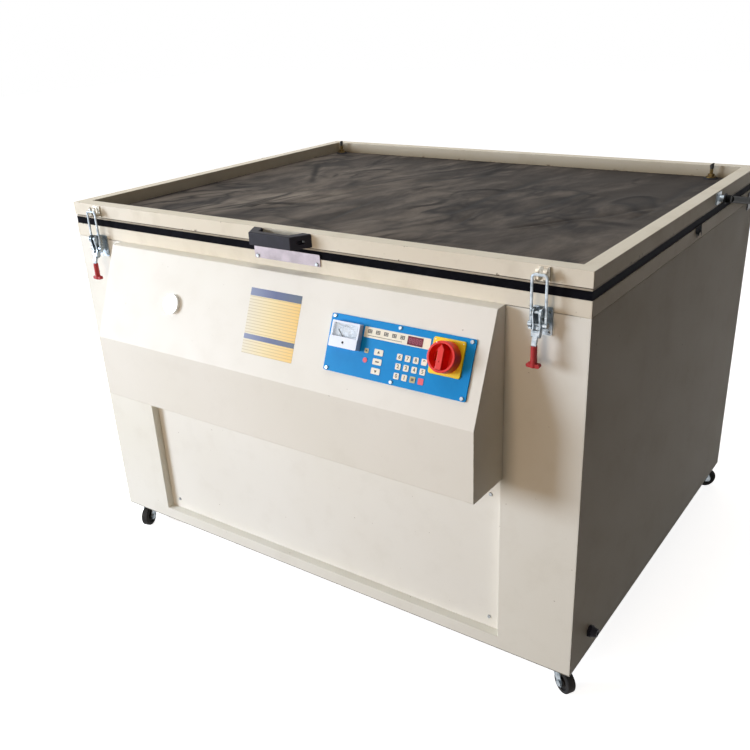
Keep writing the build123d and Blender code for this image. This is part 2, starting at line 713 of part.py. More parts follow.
# ---------------------------------------------------------------- fan behind the rear slots
fan_plane = Plane(origin=(0, depth - sheet, fan_z), z_dir=(0, -1, 0))
fan_frame = extrude(RectangleRounded(fan_size, fan_size, 6), fan_t) - extrude(Circle(fan_r), fan_t)
fan_frame += extrude(Circle(fan_hub_r), fan_plate_t)
spoke = Pos((fan_r + fan_hub_r) / 2, 0, 2) * Box(fan_r - fan_hub_r + 2 * fan_wall, 6, 4)
for angle in (45, 135, 225, 315):
    fan_frame += Rot(0, 0, angle) * spoke
shaft_end = fan_t - fan_plate_t
fan_frame += Pos(0, 0, fan_plate_t) * extrude(Circle(fan_shaft_r), shaft_end - fan_plate_t)
save("fan_frame", fan_plane * fan_frame)

rotor_low, rotor_high = fan_plate_t + 2, shaft_end
rotor = Pos(0, 0, rotor_low) * extrude(Circle(fan_hub_r), rotor_high + 2 - rotor_low)
sweep_ring = Pos(0, 0, rotor_low) * extrude(Circle(fan_r - 2), rotor_high - rotor_low)
blade_box = Pos(0, fan_r / 2, (rotor_low + rotor_high) / 2) * Rot(0, blade_pitch, 0) * Box(blade_w, fan_r, blade_t)
blade = blade_box & sweep_ring
for i in range(blade_count):
    rotor += Rot(0, 0, i * 360 / blade_count) * blade
shaft_bore = extrude(Circle(fan_shaft_r + pivot_clearance), shaft_end + side_clearance)
save("fan_rotor", fan_plane * (rotor - shaft_bore))

# ---------------------------------------------------------------- lid
save("lid_frame", mitred_bars(width, depth, lid_tube_w, lid_low, lid_top, tube_wall))
save("blanket_clamp_strip", mitred_bars(width - 2 * strip_inset, depth - 2 * strip_inset, strip_w,
                                        strip_low, strip_low + strip_t))
blanket = block((-side + blanket_inset, side - blanket_inset), (blanket_inset, depth - blanket_inset),
                (blanket_low, lid_low))
for x in nipple_xs:
    blanket += Pos(x, nipple_y, lid_low) * extrude(Circle(pad_r), pad_t, taper=30)
save("rubber_blanket", blanket)

# vacuum nipple: flange, nut and stem, with a wider mouth cut at a slant
nipple = extrude(Circle(nipple_flange_r), nipple_flange_t)
nipple += extrude(RegularPolygon(nipple_nut_r, 6), nipple_flange_t + nipple_nut_t)
nipple += extrude(Circle(nipple_r), nipple_h)
nipple += Pos(0, 0, nipple_h - nipple_head_h) * extrude(Circle(nipple_head_r), nipple_head_h)
cutter = Rot(0, -nipple_slant, 0) * Box(2 * nipple_h, 2 * nipple_h, 2 * nipple_head_r)
nipple -= Pos(0, 0, nipple_h + nipple_head_r) * cutter
nipple -= extrude(Circle(nipple_bore_r), nipple_h)
seat_z = lid_low + pad_t
save("vacuum_nipples", group(*[Pos(x, nipple_y, seat_z) * nipple for x in nipple_xs]))

# bridge handle, seen from above: two sloping feet and a grip bar round the finger gap
handle_low = lid_low + (lid_tube_h - handle_h) / 2
bar_back = handle_bar - handle_out
outline = make_face(Polyline((-handle_back / 2, 0), (-handle_front / 2, -handle_out),
                             (handle_front / 2, -handle_out), (handle_back / 2, 0), close=True))
finger_gap = make_face(Polyline((-gap_back / 2, 0), (-gap_front / 2, bar_back),
                                (gap_front / 2, bar_back), (gap_back / 2, 0), close=True))
handle = extrude(outline - finger_gap, handle_h)
handle = fillet(handle.edges().filter_by(lambda edge: edge.center().Y < -leaf_t), handle_round)
for x in (-handle_screw_x, handle_screw_x):
    handle -= rod((x, -handle_foot, handle_h / 2), (x, -handle_out, handle_h / 2), handle_bore_r)
save("lid_handle", Pos(0, 0, handle_low) * handle)

# ---------------------------------------------------------------- hinges
leaf_reach = math.sqrt(knuckle_r ** 2 - (hinge_offset - leaf_t) ** 2) + 2 * side_clearance


def hinge_half(spans, low, high, tongue_low, tongue_high):
    """One leaf: its plate, and a rolled eye with a tongue at each span of x."""
    body = block((-leaf_w / 2, leaf_w / 2), (depth, depth + leaf_t), (low, high))
    for near, far in spans:
        body += block((near, far), (depth, depth + leaf_t), (tongue_low, tongue_high))
        body += cross_rod(near, far, -hinge_y, hinge_z, knuckle_r)
    return body


knuckle_half = inner_knuckle / 2
outer_spans = ((-leaf_w / 2, -knuckle_half), (knuckle_half, leaf_w / 2))
inner_span = (-knuckle_half + side_clearance, knuckle_half - side_clearance)
plate_end = hinge_z - leaf_reach
fixed_leaf = hinge_half(outer_spans, plate_end - leaf_h, plate_end, plate_end, hinge_z)
fixed_leaf += cross_rod(-leaf_w / 2, leaf_w / 2, -hinge_y, hinge_z, hinge_pin_r)
plate_start = hinge_z + leaf_reach
moving_leaf = hinge_half((inner_span,), plate_start, plate_start + leaf_h, hinge_z, plate_start)
moving_leaf -= cross_rod(-leaf_w, leaf_w, -hinge_y, hinge_z, hinge_pin_r + pivot_clearance)
hinge_xs = (-hinge_x, 0, hinge_x)
save("hinge_leaves_fixed", group(*[Pos(x, 0, 0) * fixed_leaf for x in hinge_xs]))
save("hinge_leaves_moving", group(*[Pos(x, 0, 0) * moving_leaf for x in hinge_xs]))

# ---------------------------------------------------------------- gas struts
strut_x = side + strut_out
eye_near, eye_far = strut_x - strut_eye_w / 2, strut_x + strut_eye_w / 2
foot = Vector(strut_x, strut_foot_y, strut_foot_z)
head = Vector(strut_x, lid_stud_y, (lid_low + lid_top) / 2)
strut_length = (head - foot).length
strut_dir = (head - foot).normalized()


def on_strut(near, far, radius):
    """Round bar along the strut's axis, between two distances from its foot."""
    return rod(tuple(foot + strut_dir * near), tuple(foot + strut_dir * far), radius)


def stud(spot, near, far, radius):
    """Round boss across the machine's side, at a pivot."""
    return cross_rod(near, far, -spot.Y, spot.Z, radius)


shoulder_x = eye_far + side_clearance
foot_stud = block((side, side + bracket_t), (foot.Y - bracket_w / 2, foot.Y + bracket_w / 2),
                  (foot.Z - bracket_h / 2, foot.Z + bracket_h / 2))
foot_stud += stud(foot, side, eye_near - side_clearance, strut_boss_r)
foot_stud += stud(foot, side, shoulder_x, strut_pin_r)
foot_stud += stud(foot, shoulder_x, shoulder_x + strut_head_t, strut_head_r)
save("strut_brackets", both_sides(foot_stud))

washer_low = eye_near - washer_gap - washer_t
lid_stud = block((side, side + bracket_t), (head.Y - boss_plate_w / 2, head.Y + boss_plate_w / 2),
                 (head.Z - boss_plate_h / 2, head.Z + boss_plate_h / 2))
lid_stud += stud(head, side, washer_low, strut_boss_r)
save("lid_studs", both_sides(lid_stud))
save("lid_stud_washers", both_sides(stud(head, washer_low, washer_low + washer_t, washer_r)))

tube_end = strut_length - strut_end
gland_end = strut_gland + gland_wall
strut_tube = on_strut(strut_gland, tube_end, strut_tube_r)
strut_tube -= on_strut(gland_end, tube_end - 5, strut_bore_r)
strut_tube -= on_strut(strut_gland, gland_end, strut_rod_r + pivot_clearance)
strut_tube += on_strut(tube_end, strut_length, strut_neck_r)
strut_tube += stud(head, eye_near, eye_far, strut_eye_r)

piston_end = tube_end - gland_wall
strut_rod = stud(foot, eye_near, eye_far, strut_eye_r)
strut_rod += on_strut(0, strut_gland - gland_wall, strut_neck_r)
strut_rod += on_strut(0, piston_end, strut_rod_r)
strut_rod += on_strut(piston_end - piston_t, piston_end, strut_bore_r - side_clearance)
strut_rod -= stud(foot, side, eye_far + strut_eye_w, strut_pin_r + pivot_clearance)
save("strut_tube_right", strut_tube)
save("strut_tube_left", mirror(strut_tube, about=Plane.YZ))
save("strut_rod_right", strut_rod)
save("strut_rod_left", mirror(strut_rod, about=Plane.YZ))

# ---------------------------------------------------------------- latches
# base: a screwed plate with two ears that carry the lever's pin
plate_half = latch_plate_w / 2
latch_base = block((-plate_half, plate_half), (-latch_plate_t, 0), (link_z - 22, pivot_z + 4))
latch_base = fillet(latch_base.edges().filter_by(Axis.Y), 3)
for x in (-bail_half, bail_half):
    for z in (link_z - 16, pivot_z - 4):
        latch_base -= Pos(x, 0, z) * Rot(90, 0, 0) * Cylinder(latch_hole_r, 4 * latch_plate_t)
ear = [(0, link_z - 14), (pivot_out - 3, pivot_z - 7), (pivot_out, pivot_z),
       (pivot_out - 4, pivot_z + 7), (ear_r, pivot_z + 4), (0, pivot_z)]
for near in (-ear_outer, ear_inner):
    latch_base += side_profile(ear, near, near + ear_t)
    latch_base += cross_rod(near, near + ear_t, pivot_out, pivot_z, ear_r)
latch_base += cross_rod(-ear_outer, ear_outer, pivot_out, pivot_z, latch_pin_r)
for near in (-ear_outer - rivet_h, ear_outer):
    latch_base += cross_rod(near, near + rivet_h, pivot_out, pivot_z, rivet_r)
save("latch_bases", both_sides(Pos(latch_x, 0, 0) * latch_base))

# lever: two cheeks on the pivot, joined below the bail into one bent strap
cheek_outer = ear_inner - side_clearance
cheek_inner = cheek_outer - cheek_t
bridge = (pivot_out + 1, link_z - 13)
strap_near = pivot_out + strap_out - strap_t / 2
strap_far = strap_near + strap_t
strap_low = pivot_z - grip_drop + 3
lever = link(bridge, (bridge[0], bridge[1] - 3), 5, -cheek_outer, cheek_outer)
for near in (-cheek_outer, cheek_inner):
    lever += link((pivot_out, pivot_z), (link_out, link_z), 6.5, near, near + cheek_t)
    lever += link((link_out, link_z), bridge, 5, near, near + cheek_t)
strap = [(bridge[0] - 3.5, bridge[1] - 2), (strap_near, bridge[1] - 17), (strap_near, strap_low),
         (strap_far, strap_low), (strap_far, bridge[1] - 14), (bridge[0] + 3.5, bridge[1] + 2)]
lever += side_profile(strap, -strap_half, strap_half)
lever -= cross_rod(-ear_outer, ear_outer, pivot_out, pivot_z, latch_pin_r + pivot_clearance)
lever -= cross_rod(-ear_outer, ear_outer, link_out, link_z, link_pin_r + pivot_clearance)

# grip: a dipped sleeve on the strap, flared into two wings at its end
grip_low = pivot_z - grip_drop
sleeve = extrude(Circle(grip_r), grip_l, taper=1)
wings = Pos(0, 0, 3.5) * Box(grip_wing_w, grip_wing_t, 7)
sleeve += fillet(wings.edges().filter_by(Axis.Y), 3)
sleeve = Pos(0, -pivot_out - strap_out, grip_low) * sleeve - lever

# bail: a bent rod whose threaded legs pass through the ends of the link pin
leg_end = link_z - 9
bail_path = FilletPolyline((-bail_half, leg_end), (-bail_half, latch_bar), (bail_half, latch_bar),
                           (bail_half, leg_end), radius=bail_bend_r)
bail_wire = Plane(origin=(0, -link_out, 0), x_dir=(1, 0, 0), z_dir=(0, -1, 0)) * bail_path
bail_start = Plane(origin=(-bail_half, -link_out, leg_end), z_dir=(0, 0, 1))
bail = sweep(bail_start * Circle(bail_r), bail_wire)
barrel_near = ear_outer + side_clearance
barrel_far = bail_half + bail_r + 1.5
bail += cross_rod(-barrel_near, barrel_near, link_out, link_z, link_pin_r)
bail += cross_rod(-barrel_far, -barrel_near, link_out, link_z, bail_barrel_r)
bail += cross_rod(barrel_near, barrel_far, link_out, link_z, bail_barrel_r)
for x in (-bail_half, bail_half):
    bail += Pos(x, -link_out, leg_end + 1.5) * extrude(RegularPolygon(bail_nut_r, 6), bail_nut_t)
for name, x in (("right", latch_x), ("left", -latch_x)):
    save(f"latch_lever_{name}", Pos(x, 0, 0) * lever)
    save(f"latch_grip_{name}", Pos(x, 0, 0) * sleeve)
    save(f"latch_bail_{name}", Pos(x, 0, 0) * bail)

# keeper: a flange on the lid frame with two hooked prongs
keeper = block((-keeper_half, keeper_half), (-keeper_t, 0), (keeper_low, keeper_low + keeper_h))
arm_t = 5.0
arm_low = keeper_low + 2
pocket_out = keeper_nose - 4
prong = [(0, arm_low), (pocket_out, arm_low), (keeper_nose, arm_low + 4),
         (keeper_nose, keeper_low + keeper_h - 4), (keeper_nose - 3, keeper_low + keeper_h - 1),
         (pocket_out, arm_low + arm_t + 3), (pocket_out - 3, arm_low + arm_t), (0, arm_low + arm_t)]
keeper += side_profile(prong, -keeper_half, -keeper_gap_half)
keeper += side_profile(prong, keeper_gap_half, keeper_half)
save("latch_keepers", both_sides(Pos(latch_x, 0, 0) * keeper))

# ---------------------------------------------------------------- casters
corner_x = side - caster_inset
corners = {"fl": (-corner_x, caster_inset), "fr": (corner_x, caster_inset),
           "rl": (-corner_x, depth - caster_inset), "rr": (corner_x, depth - caster_inset)}
pin_head_top = crown_low - side_clearance
caster_plate = Pos(0, 0, plate_low) * extrude(RectangleRounded(caster_plate_w, caster_plate_w, 5), caster_plate_t)
caster_plate += Pos(0, 0, race_low) * extrude(Circle(crown_r), race_h)
caster_plate += Pos(0, 0, pin_head_top) * extrude(Circle(kingpin_r), race_low - pin_head_top)
caster_plate += Pos(0, 0, pin_head_top - kingpin_head_t) * extrude(Circle(kingpin_head_r), kingpin_head_t)
save("caster_plates", group(*[Pos(x, y, 0) * caster_plate for x, y in corners.values()]))

# fork: a round crown, two tapering cheeks, and the axle with its nuts
cheek_near = wheel_w / 2 + fork_gap
cheek_far = cheek_near + fork_t
fork = Pos(0, 0, crown_low) * extrude(Circle(crown_r), crown_t)
fork += block((-4, 16), (-cheek_far, cheek_far), (crown_low, crown_top))
cheek = make_face(Polyline((-10, crown_top), (16, crown_top), (trail + 7, wheel_r + 2),
                           (trail + 5, wheel_r - 8), (trail - 5, wheel_r - 8), close=True))
for near in (-cheek_far, cheek_near):
    fork += Plane(origin=(0, near, 0), x_dir=(1, 0, 0), z_dir=(0, -1, 0)) * extrude(cheek, -fork_t)
fork -= Pos(0, 0, crown_low) * extrude(Circle(kingpin_r + pivot_clearance), crown_t)
fork += rod((trail, -cheek_far - axle_nut_t, wheel_r), (trail, cheek_far + axle_nut_t, wheel_r), axle_r)
for sign in (-1, 1):
    nut_plane = Plane(origin=(trail, sign * cheek_far, wheel_r), z_dir=(0, sign, 0))
    fork += nut_plane * extrude(RegularPolygon(axle_nut_r, 6), axle_nut_t)

# wheel: rounded tread, dished webs, and a hub that runs between the cheeks
wheel = rod((trail, -wheel_w / 2, wheel_r), (trail, wheel_w / 2, wheel_r), wheel_r)
wheel = fillet(wheel.edges().filter_by(GeomType.CIRCLE), wheel_round)
hub_half = cheek_near - side_clearance
for sign in (-1, 1):
    dish_plane = Plane(origin=(trail, sign * wheel_w / 2, wheel_r), z_dir=(0, -sign, 0))
    wheel -= dish_plane * extrude(Circle(web_r) - Circle(hub_r + 2), web_dish)
wheel += rod((trail, -hub_half, wheel_r), (trail, hub_half, wheel_r), hub_r)
wheel -= rod((trail, -hub_half, wheel_r), (trail, hub_half, wheel_r), axle_r + pivot_clearance)
for key, (x, y) in corners.items():
    turned = Pos(x, y, 0) * Rot(0, 0, caster_swivel[key])
    save(f"caster_fork_{key}", turned * fork)
    save(f"caster_wheel_{key}", turned * wheel)
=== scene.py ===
# %% [markdown]
# # Screen printing exposure unit
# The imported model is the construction: every rigid piece has its real shape and place. This
# lesson dresses it. It gives each piece the finish of its real material, replaces the soft
# rubber blanket by one that sags and creases, and adds the small things that are only looks:
# printed keys, dials, a label and screw recesses. All of it stays in metres, in the frame of
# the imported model.

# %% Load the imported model
import math
import bmesh
import bpy
from mathutils import Euler, Matrix, Vector, noise


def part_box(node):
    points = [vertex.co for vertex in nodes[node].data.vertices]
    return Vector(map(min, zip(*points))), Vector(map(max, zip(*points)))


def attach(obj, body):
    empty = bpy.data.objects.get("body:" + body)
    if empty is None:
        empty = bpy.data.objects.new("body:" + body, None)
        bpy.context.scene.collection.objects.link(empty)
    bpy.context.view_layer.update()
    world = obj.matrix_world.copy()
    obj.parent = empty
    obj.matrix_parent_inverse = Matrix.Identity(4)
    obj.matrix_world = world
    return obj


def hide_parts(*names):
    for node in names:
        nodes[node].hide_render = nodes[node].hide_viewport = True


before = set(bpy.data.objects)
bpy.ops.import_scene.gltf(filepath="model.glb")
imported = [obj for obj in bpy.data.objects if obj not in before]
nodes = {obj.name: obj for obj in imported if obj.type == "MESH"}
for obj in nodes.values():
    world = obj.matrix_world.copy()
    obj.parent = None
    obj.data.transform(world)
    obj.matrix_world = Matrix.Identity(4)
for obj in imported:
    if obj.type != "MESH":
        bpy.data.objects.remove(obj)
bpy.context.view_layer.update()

# %% [markdown]
# ## Camera
# The view is from the front right, a little above the lid. Perspective depends only on where
# the camera stands. So its place and turn come first, and the small shift only sets where the
# object sits in the square frame.

# %% Camera
LENS_MM, SENSOR_MM = 41.663, 36.0
SHIFT = (-0.01447, 0.04293)
STAND = (1.12088, -1.69611, 1.25584)
NEAREST, FARTHEST = 0.05, 60.0
right = Vector((0.82229113, 0.56765324, -0.04008852))
up = Vector((-0.20965994, 0.36769261, 0.90600489))
back = Vector((0.52903686, -0.73659483, 0.42136452))


def show(name, data):
    """New object at the origin, linked to the scene."""
    thing = bpy.data.objects.new(name, data)
    bpy.context.scene.collection.objects.link(thing)
    return thing


lens = bpy.data.cameras.new("camera")
lens.lens, lens.sensor_width = LENS_MM, SENSOR_MM
lens.shift_x, lens.shift_y = SHIFT
lens.clip_start, lens.clip_end = NEAREST, FARTHEST
camera = show("camera", lens)
camera.matrix_world = Matrix.Translation(STAND) @ Matrix((right, up, back)).transposed().to_4x4()
bpy.context.scene.camera = camera
print("camera", [round(v, 3) for v in camera.location], "lens", LENS_MM, "mm")

# %% [markdown]
# ## Materials: the tools
# A few helpers are enough for all the finishes. One turns an sRGB hex value into the linear
# colour that the shader wants. One sets or links the inputs of a node. One adds a node of any
# kind and gives back its result, ready to be the input of the next one. One starts a material
# with its Principled shader and its Object coordinates.

# %% Helpers for materials
MM = 0.001


def linear(text):
    """Linear colour with alpha, from sRGB hex."""
    channels = [int(text[i:i + 2], 16) / 255 for i in (1, 3, 5)]
    return [c / 12.92 if c <= 0.04045 else ((c + 0.055) / 1.055) ** 2.4 for c in channels] + [1.0]


def plug(material, node, inputs):
    """Set a node's inputs. A socket is linked, and a text is a colour in sRGB hex."""
    for key, value in inputs.items():
        if isinstance(value, bpy.types.NodeSocket):
            material.node_tree.links.new(value, node.inputs[key])
        else:
            node.inputs[key].default_value = linear(value) if isinstance(value, str) else value


def add(material, kind, inputs=None, stops=(), out=None, **settings):
    """Add a node with its settings, inputs and colour stops. Gives its first live output."""
    node = material.node_tree.nodes.new("ShaderNode" + kind)
    for key, value in settings.items():
        setattr(node, key, value)
    plug(material, node, inputs or {})
    if stops:
        elements = node.color_ramp.elements
        while len(elements) < len(stops):
            elements.new(1.0)
        for element, (place, colour) in zip(elements, stops):
            element.position = place
            element.color = linear(colour) if isinstance(colour, str) else (colour, colour, colour, 1.0)
    return node.outputs[out] if out else next(socket for socket in node.outputs if socket.enabled)


def start(name, colour, roughness, metallic=0.0, ior=1.5, shine=0.5):
    """New material: its shader with the plain values of the finish, and Object coordinates."""
    material = bpy.data.materials.new(name)
    material.use_nodes = True
    shader = material.node_tree.nodes["Principled BSDF"]
    plug(material, shader, {"Base Color": colour, "Roughness": roughness, "Metallic": metallic,
                            "IOR": ior, "Specular IOR Level": shine})
    return material, shader, add(material, "TexCoord", out="Object")


def per_metre(size_mm):
    """Noise scale whose grains are about size_mm wide."""
    return 1.0 / (size_mm * MM)


print("linear grey of #808080:", round(linear("#808080")[0], 3))

# %% [markdown]
# ## Powder coat
# The cabinet is folded steel sheet with a cream epoxy-polyester powder coat. Powder melts into
# a film with a fine ripple called orange peel, about 1.5 mm from crest to crest, and a satin
# gloss. A shop machine also shows cloudy dirt and a few dark specks. So the colour gets two
# slow noises and one for the specks, the gloss follows the dirt, and the ripple goes into a
# bump too low to feel. A folded edge is round, with a radius of about the sheet's thickness.
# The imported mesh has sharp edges, so the Bevel node rounds the normal there, which is enough
# to catch a line of light.

# %% Powder coat on sheet steel
def powder_coat(name, colour, cloud, dirt, dirt_share, fold_mm, shine):
    material, shader, place = start(name, colour, 0.55, shine=shine)
    slow = add(material, "TexNoise", {"Vector": place, "Scale": per_metre(420), "Detail": 3.0})
    clouds = add(material, "ValToRGB", {"Fac": slow}, stops=[(0.35, colour), (0.7, cloud)])
    smear = add(material, "TexNoise", {"Vector": place, "Scale": per_metre(55), "Detail": 7.0,
                                       "Roughness": 0.6})
    share = add(material, "MapRange", {"Value": smear, "From Min": 0.52, "From Max": 0.80,
                                       "To Max": dirt_share})
    mixed = add(material, "Mix", {0: share, 6: clouds, 7: dirt}, data_type="RGBA")
    speck = add(material, "TexNoise", {"Vector": place, "Scale": per_metre(9), "Detail": 2.0})
    rare = add(material, "MapRange", {"Value": speck, "From Min": 0.765, "From Max": 0.80, "To Max": 0.55})
    specked = add(material, "Mix", {0: rare, 6: mixed, 7: "#7A6851"}, data_type="RGBA")
    gloss = add(material, "MapRange", {"Value": smear, "To Min": 0.46, "To Max": 0.64})
    fold = add(material, "Bevel", {"Radius": fold_mm * MM}, samples=6)
    peel = add(material, "TexNoise", {"Vector": place, "Scale": per_metre(1.6), "Detail": 1.0})
    bump = add(material, "Bump", {"Height": peel, "Strength": 0.12, "Distance": 0.12 * MM, "Normal": fold})
    plug(material, shader, {"Base Color": specked, "Roughness": gloss, "Normal": bump})
    return material


# name, colour, cloud, dirt, share of dirt, radius of the folds in mm, shine
cabinet_coat = powder_coat("cream_powder_coat_sheet", "#EBE9DF", "#E6E3D6", "#BDB6A2", 0.14, 1.2, 0.12)
console_coat = powder_coat("cream_powder_coat_console", "#E4E0D5", "#DFDBCE", "#B9B2A0", 0.10, 1.2, 0.45)
access_coat = powder_coat("cream_powder_coat_access_panel", "#EBE9E0", "#E7E4D9", "#BDB6A2", 0.12, 1.2, 0.40)
rail_coat = powder_coat("cream_powder_coat_welded_tube", "#E2DBCA", "#DBD2BD", "#A89C7F", 0.26, 1.6, 0.2)
strip_coat = powder_coat("cream_powder_coat_clamp_strip", "#B4AA98", "#A59A86", "#5F564A", 0.5, 0.4, 0.15)
print("coats:", cabinet_coat.name, rail_coat.name, strip_coat.name)

# %% [markdown]
# The lower edges of the cabinet are cut sheet. A dark line about 2 mm high runs along them. It
# is a mask on the height above the lowest sheet edge.

# %% Dark line along the lower edge of the cabinet sheets
def opened(material):
    """Shader of a finished material, the colour that it has so far, and its coordinates."""
    parts = material.node_tree.nodes
    shader = parts["Principled BSDF"]
    return (shader, shader.inputs["Base Color"].links[0].from_socket,
            parts["Texture Coordinate"].outputs["Object"])


sheet_low = min(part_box(name)[0][2] for name in ("front_panel", "side_panels"))
shader, colour, place = opened(cabinet_coat)
axes = add(cabinet_coat, "SeparateXYZ", {"Vector": place}).node.outputs
edge_line = add(cabinet_coat, "MapRange", {"Value": axes["Z"], "From Min": sheet_low + 0.5 * MM,
                                           "From Max": sheet_low + 3.0 * MM, "To Min": 0.85, "To Max": 0.0})
edged = add(cabinet_coat, "Mix", {0: edge_line, 6: colour, 7: "#3B342C"}, data_type="RGBA")
plug(cabinet_coat, shader, {"Base Color": edged})
print("sheets end at z", round(sheet_low, 4))

# %% [markdown]
# The lid and the top rail are welded square tube, coated in the same powder but handled all day.
# The lid bumps the bed at its lower edge, so the film is chipped there. A chip mask is a noise
# cut off hard, multiplied by a band that is only open for 5 mm above that edge. Six comparisons
# pick out the space inside the lid frame. Its inner faces get painted shade, thickest just above
# the blanket, and at the back.

# %% Chips and painted shade on the welded tube
LID_LOW, LID_TALL = 0.8413, 28 * MM
CHIPS_TALL = 5 * MM
INSIDE_LID = (("X", -0.6065, 0.6065), ("Y", -0.4245, 0.5185), ("Z", 0.8400, 0.8688))

shader, colour, place = opened(rail_coat)
axes = add(rail_coat, "SeparateXYZ", {"Vector": place}).node.outputs
low_band = add(rail_coat, "MapRange", {"Value": axes["Z"], "From Min": LID_LOW,
                                       "From Max": LID_LOW + CHIPS_TALL, "To Min": 1.0, "To Max": 0.0})
above = add(rail_coat, "Math", {0: axes["Z"], 1: LID_LOW - 0.8 * MM}, operation="GREATER_THAN")
band = add(rail_coat, "Math", {0: low_band, 1: above}, operation="MULTIPLY")
chip_noise = add(rail_coat, "TexNoise", {"Vector": place, "Scale": per_metre(22), "Detail": 6.0,
                                         "Roughness": 0.7})
chip_edge = add(rail_coat, "MapRange", {"Value": chip_noise, "From Min": 0.60, "From Max": 0.63})
chipped = add(rail_coat, "Math", {0: band, 1: chip_edge}, operation="MULTIPLY")
# Painted shade on the inner faces of the lid frame: darkest just above the blanket, and more at the back.
shade_above_blanket = add(rail_coat, "MapRange", {"Value": axes["Z"], "From Min": LID_LOW,
                                    "From Max": LID_LOW + LID_TALL, "To Min": 0.46, "To Max": 0.18})
more_shade_at_back = add(rail_coat, "MapRange", {"Value": axes["Y"], "From Min": 0.500, "From Max": 0.516,
                                      "To Min": 0.35, "To Max": 1.6})
inner_painted_shade = add(rail_coat, "Math", {0: shade_above_blanket, 1: more_shade_at_back}, operation="MULTIPLY")
for axis, low, high in INSIDE_LID:
    for side, kind in ((low, "GREATER_THAN"), (high, "LESS_THAN")):
        test = add(rail_coat, "Math", {0: axes[axis], 1: side}, operation=kind)
        inner_painted_shade = add(rail_coat, "Math", {0: inner_painted_shade, 1: test}, operation="MULTIPLY")
inner_shaded = add(rail_coat, "Mix", {0: inner_painted_shade, 6: colour, 7: "#7A6845"}, data_type="RGBA")
bared = add(rail_coat, "Mix", {0: chipped, 6: inner_shaded, 7: "#5E4B38"}, data_type="RGBA")
plug(rail_coat, shader, {"Base Color": bared})
print("chips up to z", round(LID_LOW + CHIPS_TALL, 4))

# %% [markdown]
# ## Zinc plate
# Latches, hinges and caster forks are stamped steel, barrel plated with zinc and passivated to
# a bluish white. The plating follows the rolled surface, so the gloss is uneven and soft. It is
# a metal: metallic 1, the default IOR, and a mottled roughness.

# %% Metals
def plated(name, bright, dull, smooth, rough, grain_mm):
    material, shader, place = start(name, bright, smooth, metallic=1.0)
    mottle = add(material, "TexNoise", {"Vector": place, "Scale": per_metre(grain_mm), "Detail": 5.0,
                                        "Roughness": 0.6})
    tone = add(material, "ValToRGB", {"Fac": mottle}, stops=[(0.3, dull), (0.65, bright)])
    gloss = add(material, "MapRange", {"Value": mottle, "From Min": 0.3, "From Max": 0.7,
                                       "To Min": rough, "To Max": smooth})
    fine = add(material, "TexNoise", {"Vector": place, "Scale": per_metre(0.7), "Detail": 2.0})
    bump = add(material, "Bump", {"Height": fine, "Strength": 0.15, "Distance": 0.05 * MM})
    plug(material, shader, {"Base Color": tone, "Roughness": gloss, "Normal": bump})
    return material


# name, bright, dull, least and most roughness, size of the mottles in mm
zinc = plated("zinc_plated_steel_blue_passivated", "#AEB6BC", "#6F797F", 0.24, 0.46, 9)
keeper_zinc = plated("zinc_plated_steel_yellowed", "#C6BFB0", "#8A857B", 0.34, 0.54, 7)
bracket_steel = plated("black_zinc_plated_steel", "#5A5B5E", "#2E2F31", 0.34, 0.52, 6)
screw_steel = plated("zinc_plated_screw_heads", "#A9ADAE", "#7C8082", 0.24, 0.40, 4)
plate_aluminium = plated("anodised_aluminium_stop_plate", "#948B8D", "#877F81", 0.52, 0.62, 22)
bright_sheet = plated("bright_rolled_aluminium_reflector", "#E6E7E8", "#C9CBCD", 0.12, 0.24, 30)
chrome = plated("satin_chromed_gauge_bezel", "#E4E4E2", "#D0D0CE", 0.30, 0.42, 12)
brass = plated("turned_brass_tarnished", "#7F6A41", "#3E3320", 0.38, 0.60, 5)
print("metals:", zinc.name, brass.name, chrome.name)

# %% [markdown]
# The brass nipples have a black rubber cap on their heads. The cap is part of the same turned
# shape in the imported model, so the finish changes with height: above the neck it is a black
# non-metal, below it brass. The mask is either 0 or 1, because half a metal is no real surface.

# %% Black caps on the brass nipples
CAP_LOW = 0.8640
shader, colour, place = opened(brass)
axes = add(brass, "SeparateXYZ", {"Vector": place}).node.outputs
capped = add(brass, "Math", {0: axes["Z"], 1: CAP_LOW}, operation="GREATER_THAN")
metal = add(brass, "Math", {0: 1.0, 1: capped}, operation="SUBTRACT")
cap_tone = add(brass, "Mix", {0: capped, 6: colour, 7: "#15140F"}, data_type="RGBA")
plug(brass, shader, {"Metallic": metal, "Base Color": cap_tone})
print("caps above z", CAP_LOW)

# %% [markdown]
# ## Rubber and moulded plastics
# Black rubber is matt and picks up pale dust. Moulded nylon and ABS have the fine grain of a
# spark-eroded mould, about half a millimetre, and a soft highlight. One recipe serves them all:
# a base tone, a share of dust or fading, an uneven gloss and a fine grain.

# %% Rubber and plastics
def moulded(name, colour, faded, share, smooth, rough, grain_mm, grain_height_mm, shine=0.35):
    material, shader, place = start(name, colour, smooth, shine=shine)
    patch = add(material, "TexNoise", {"Vector": place, "Scale": per_metre(24), "Detail": 6.0,
                                       "Roughness": 0.65})
    much = add(material, "MapRange", {"Value": patch, "From Min": 0.42, "From Max": 0.72, "To Max": share})
    mixed = add(material, "Mix", {0: much, 6: colour, 7: faded}, data_type="RGBA")
    gloss = add(material, "MapRange", {"Value": patch, "To Min": smooth, "To Max": rough})
    grain = add(material, "TexNoise", {"Vector": place, "Scale": per_metre(grain_mm), "Detail": 2.0})
    bump = add(material, "Bump", {"Height": grain, "Strength": 0.3, "Distance": grain_height_mm * MM})
    plug(material, shader, {"Base Color": mixed, "Roughness": gloss, "Normal": bump})
    return material


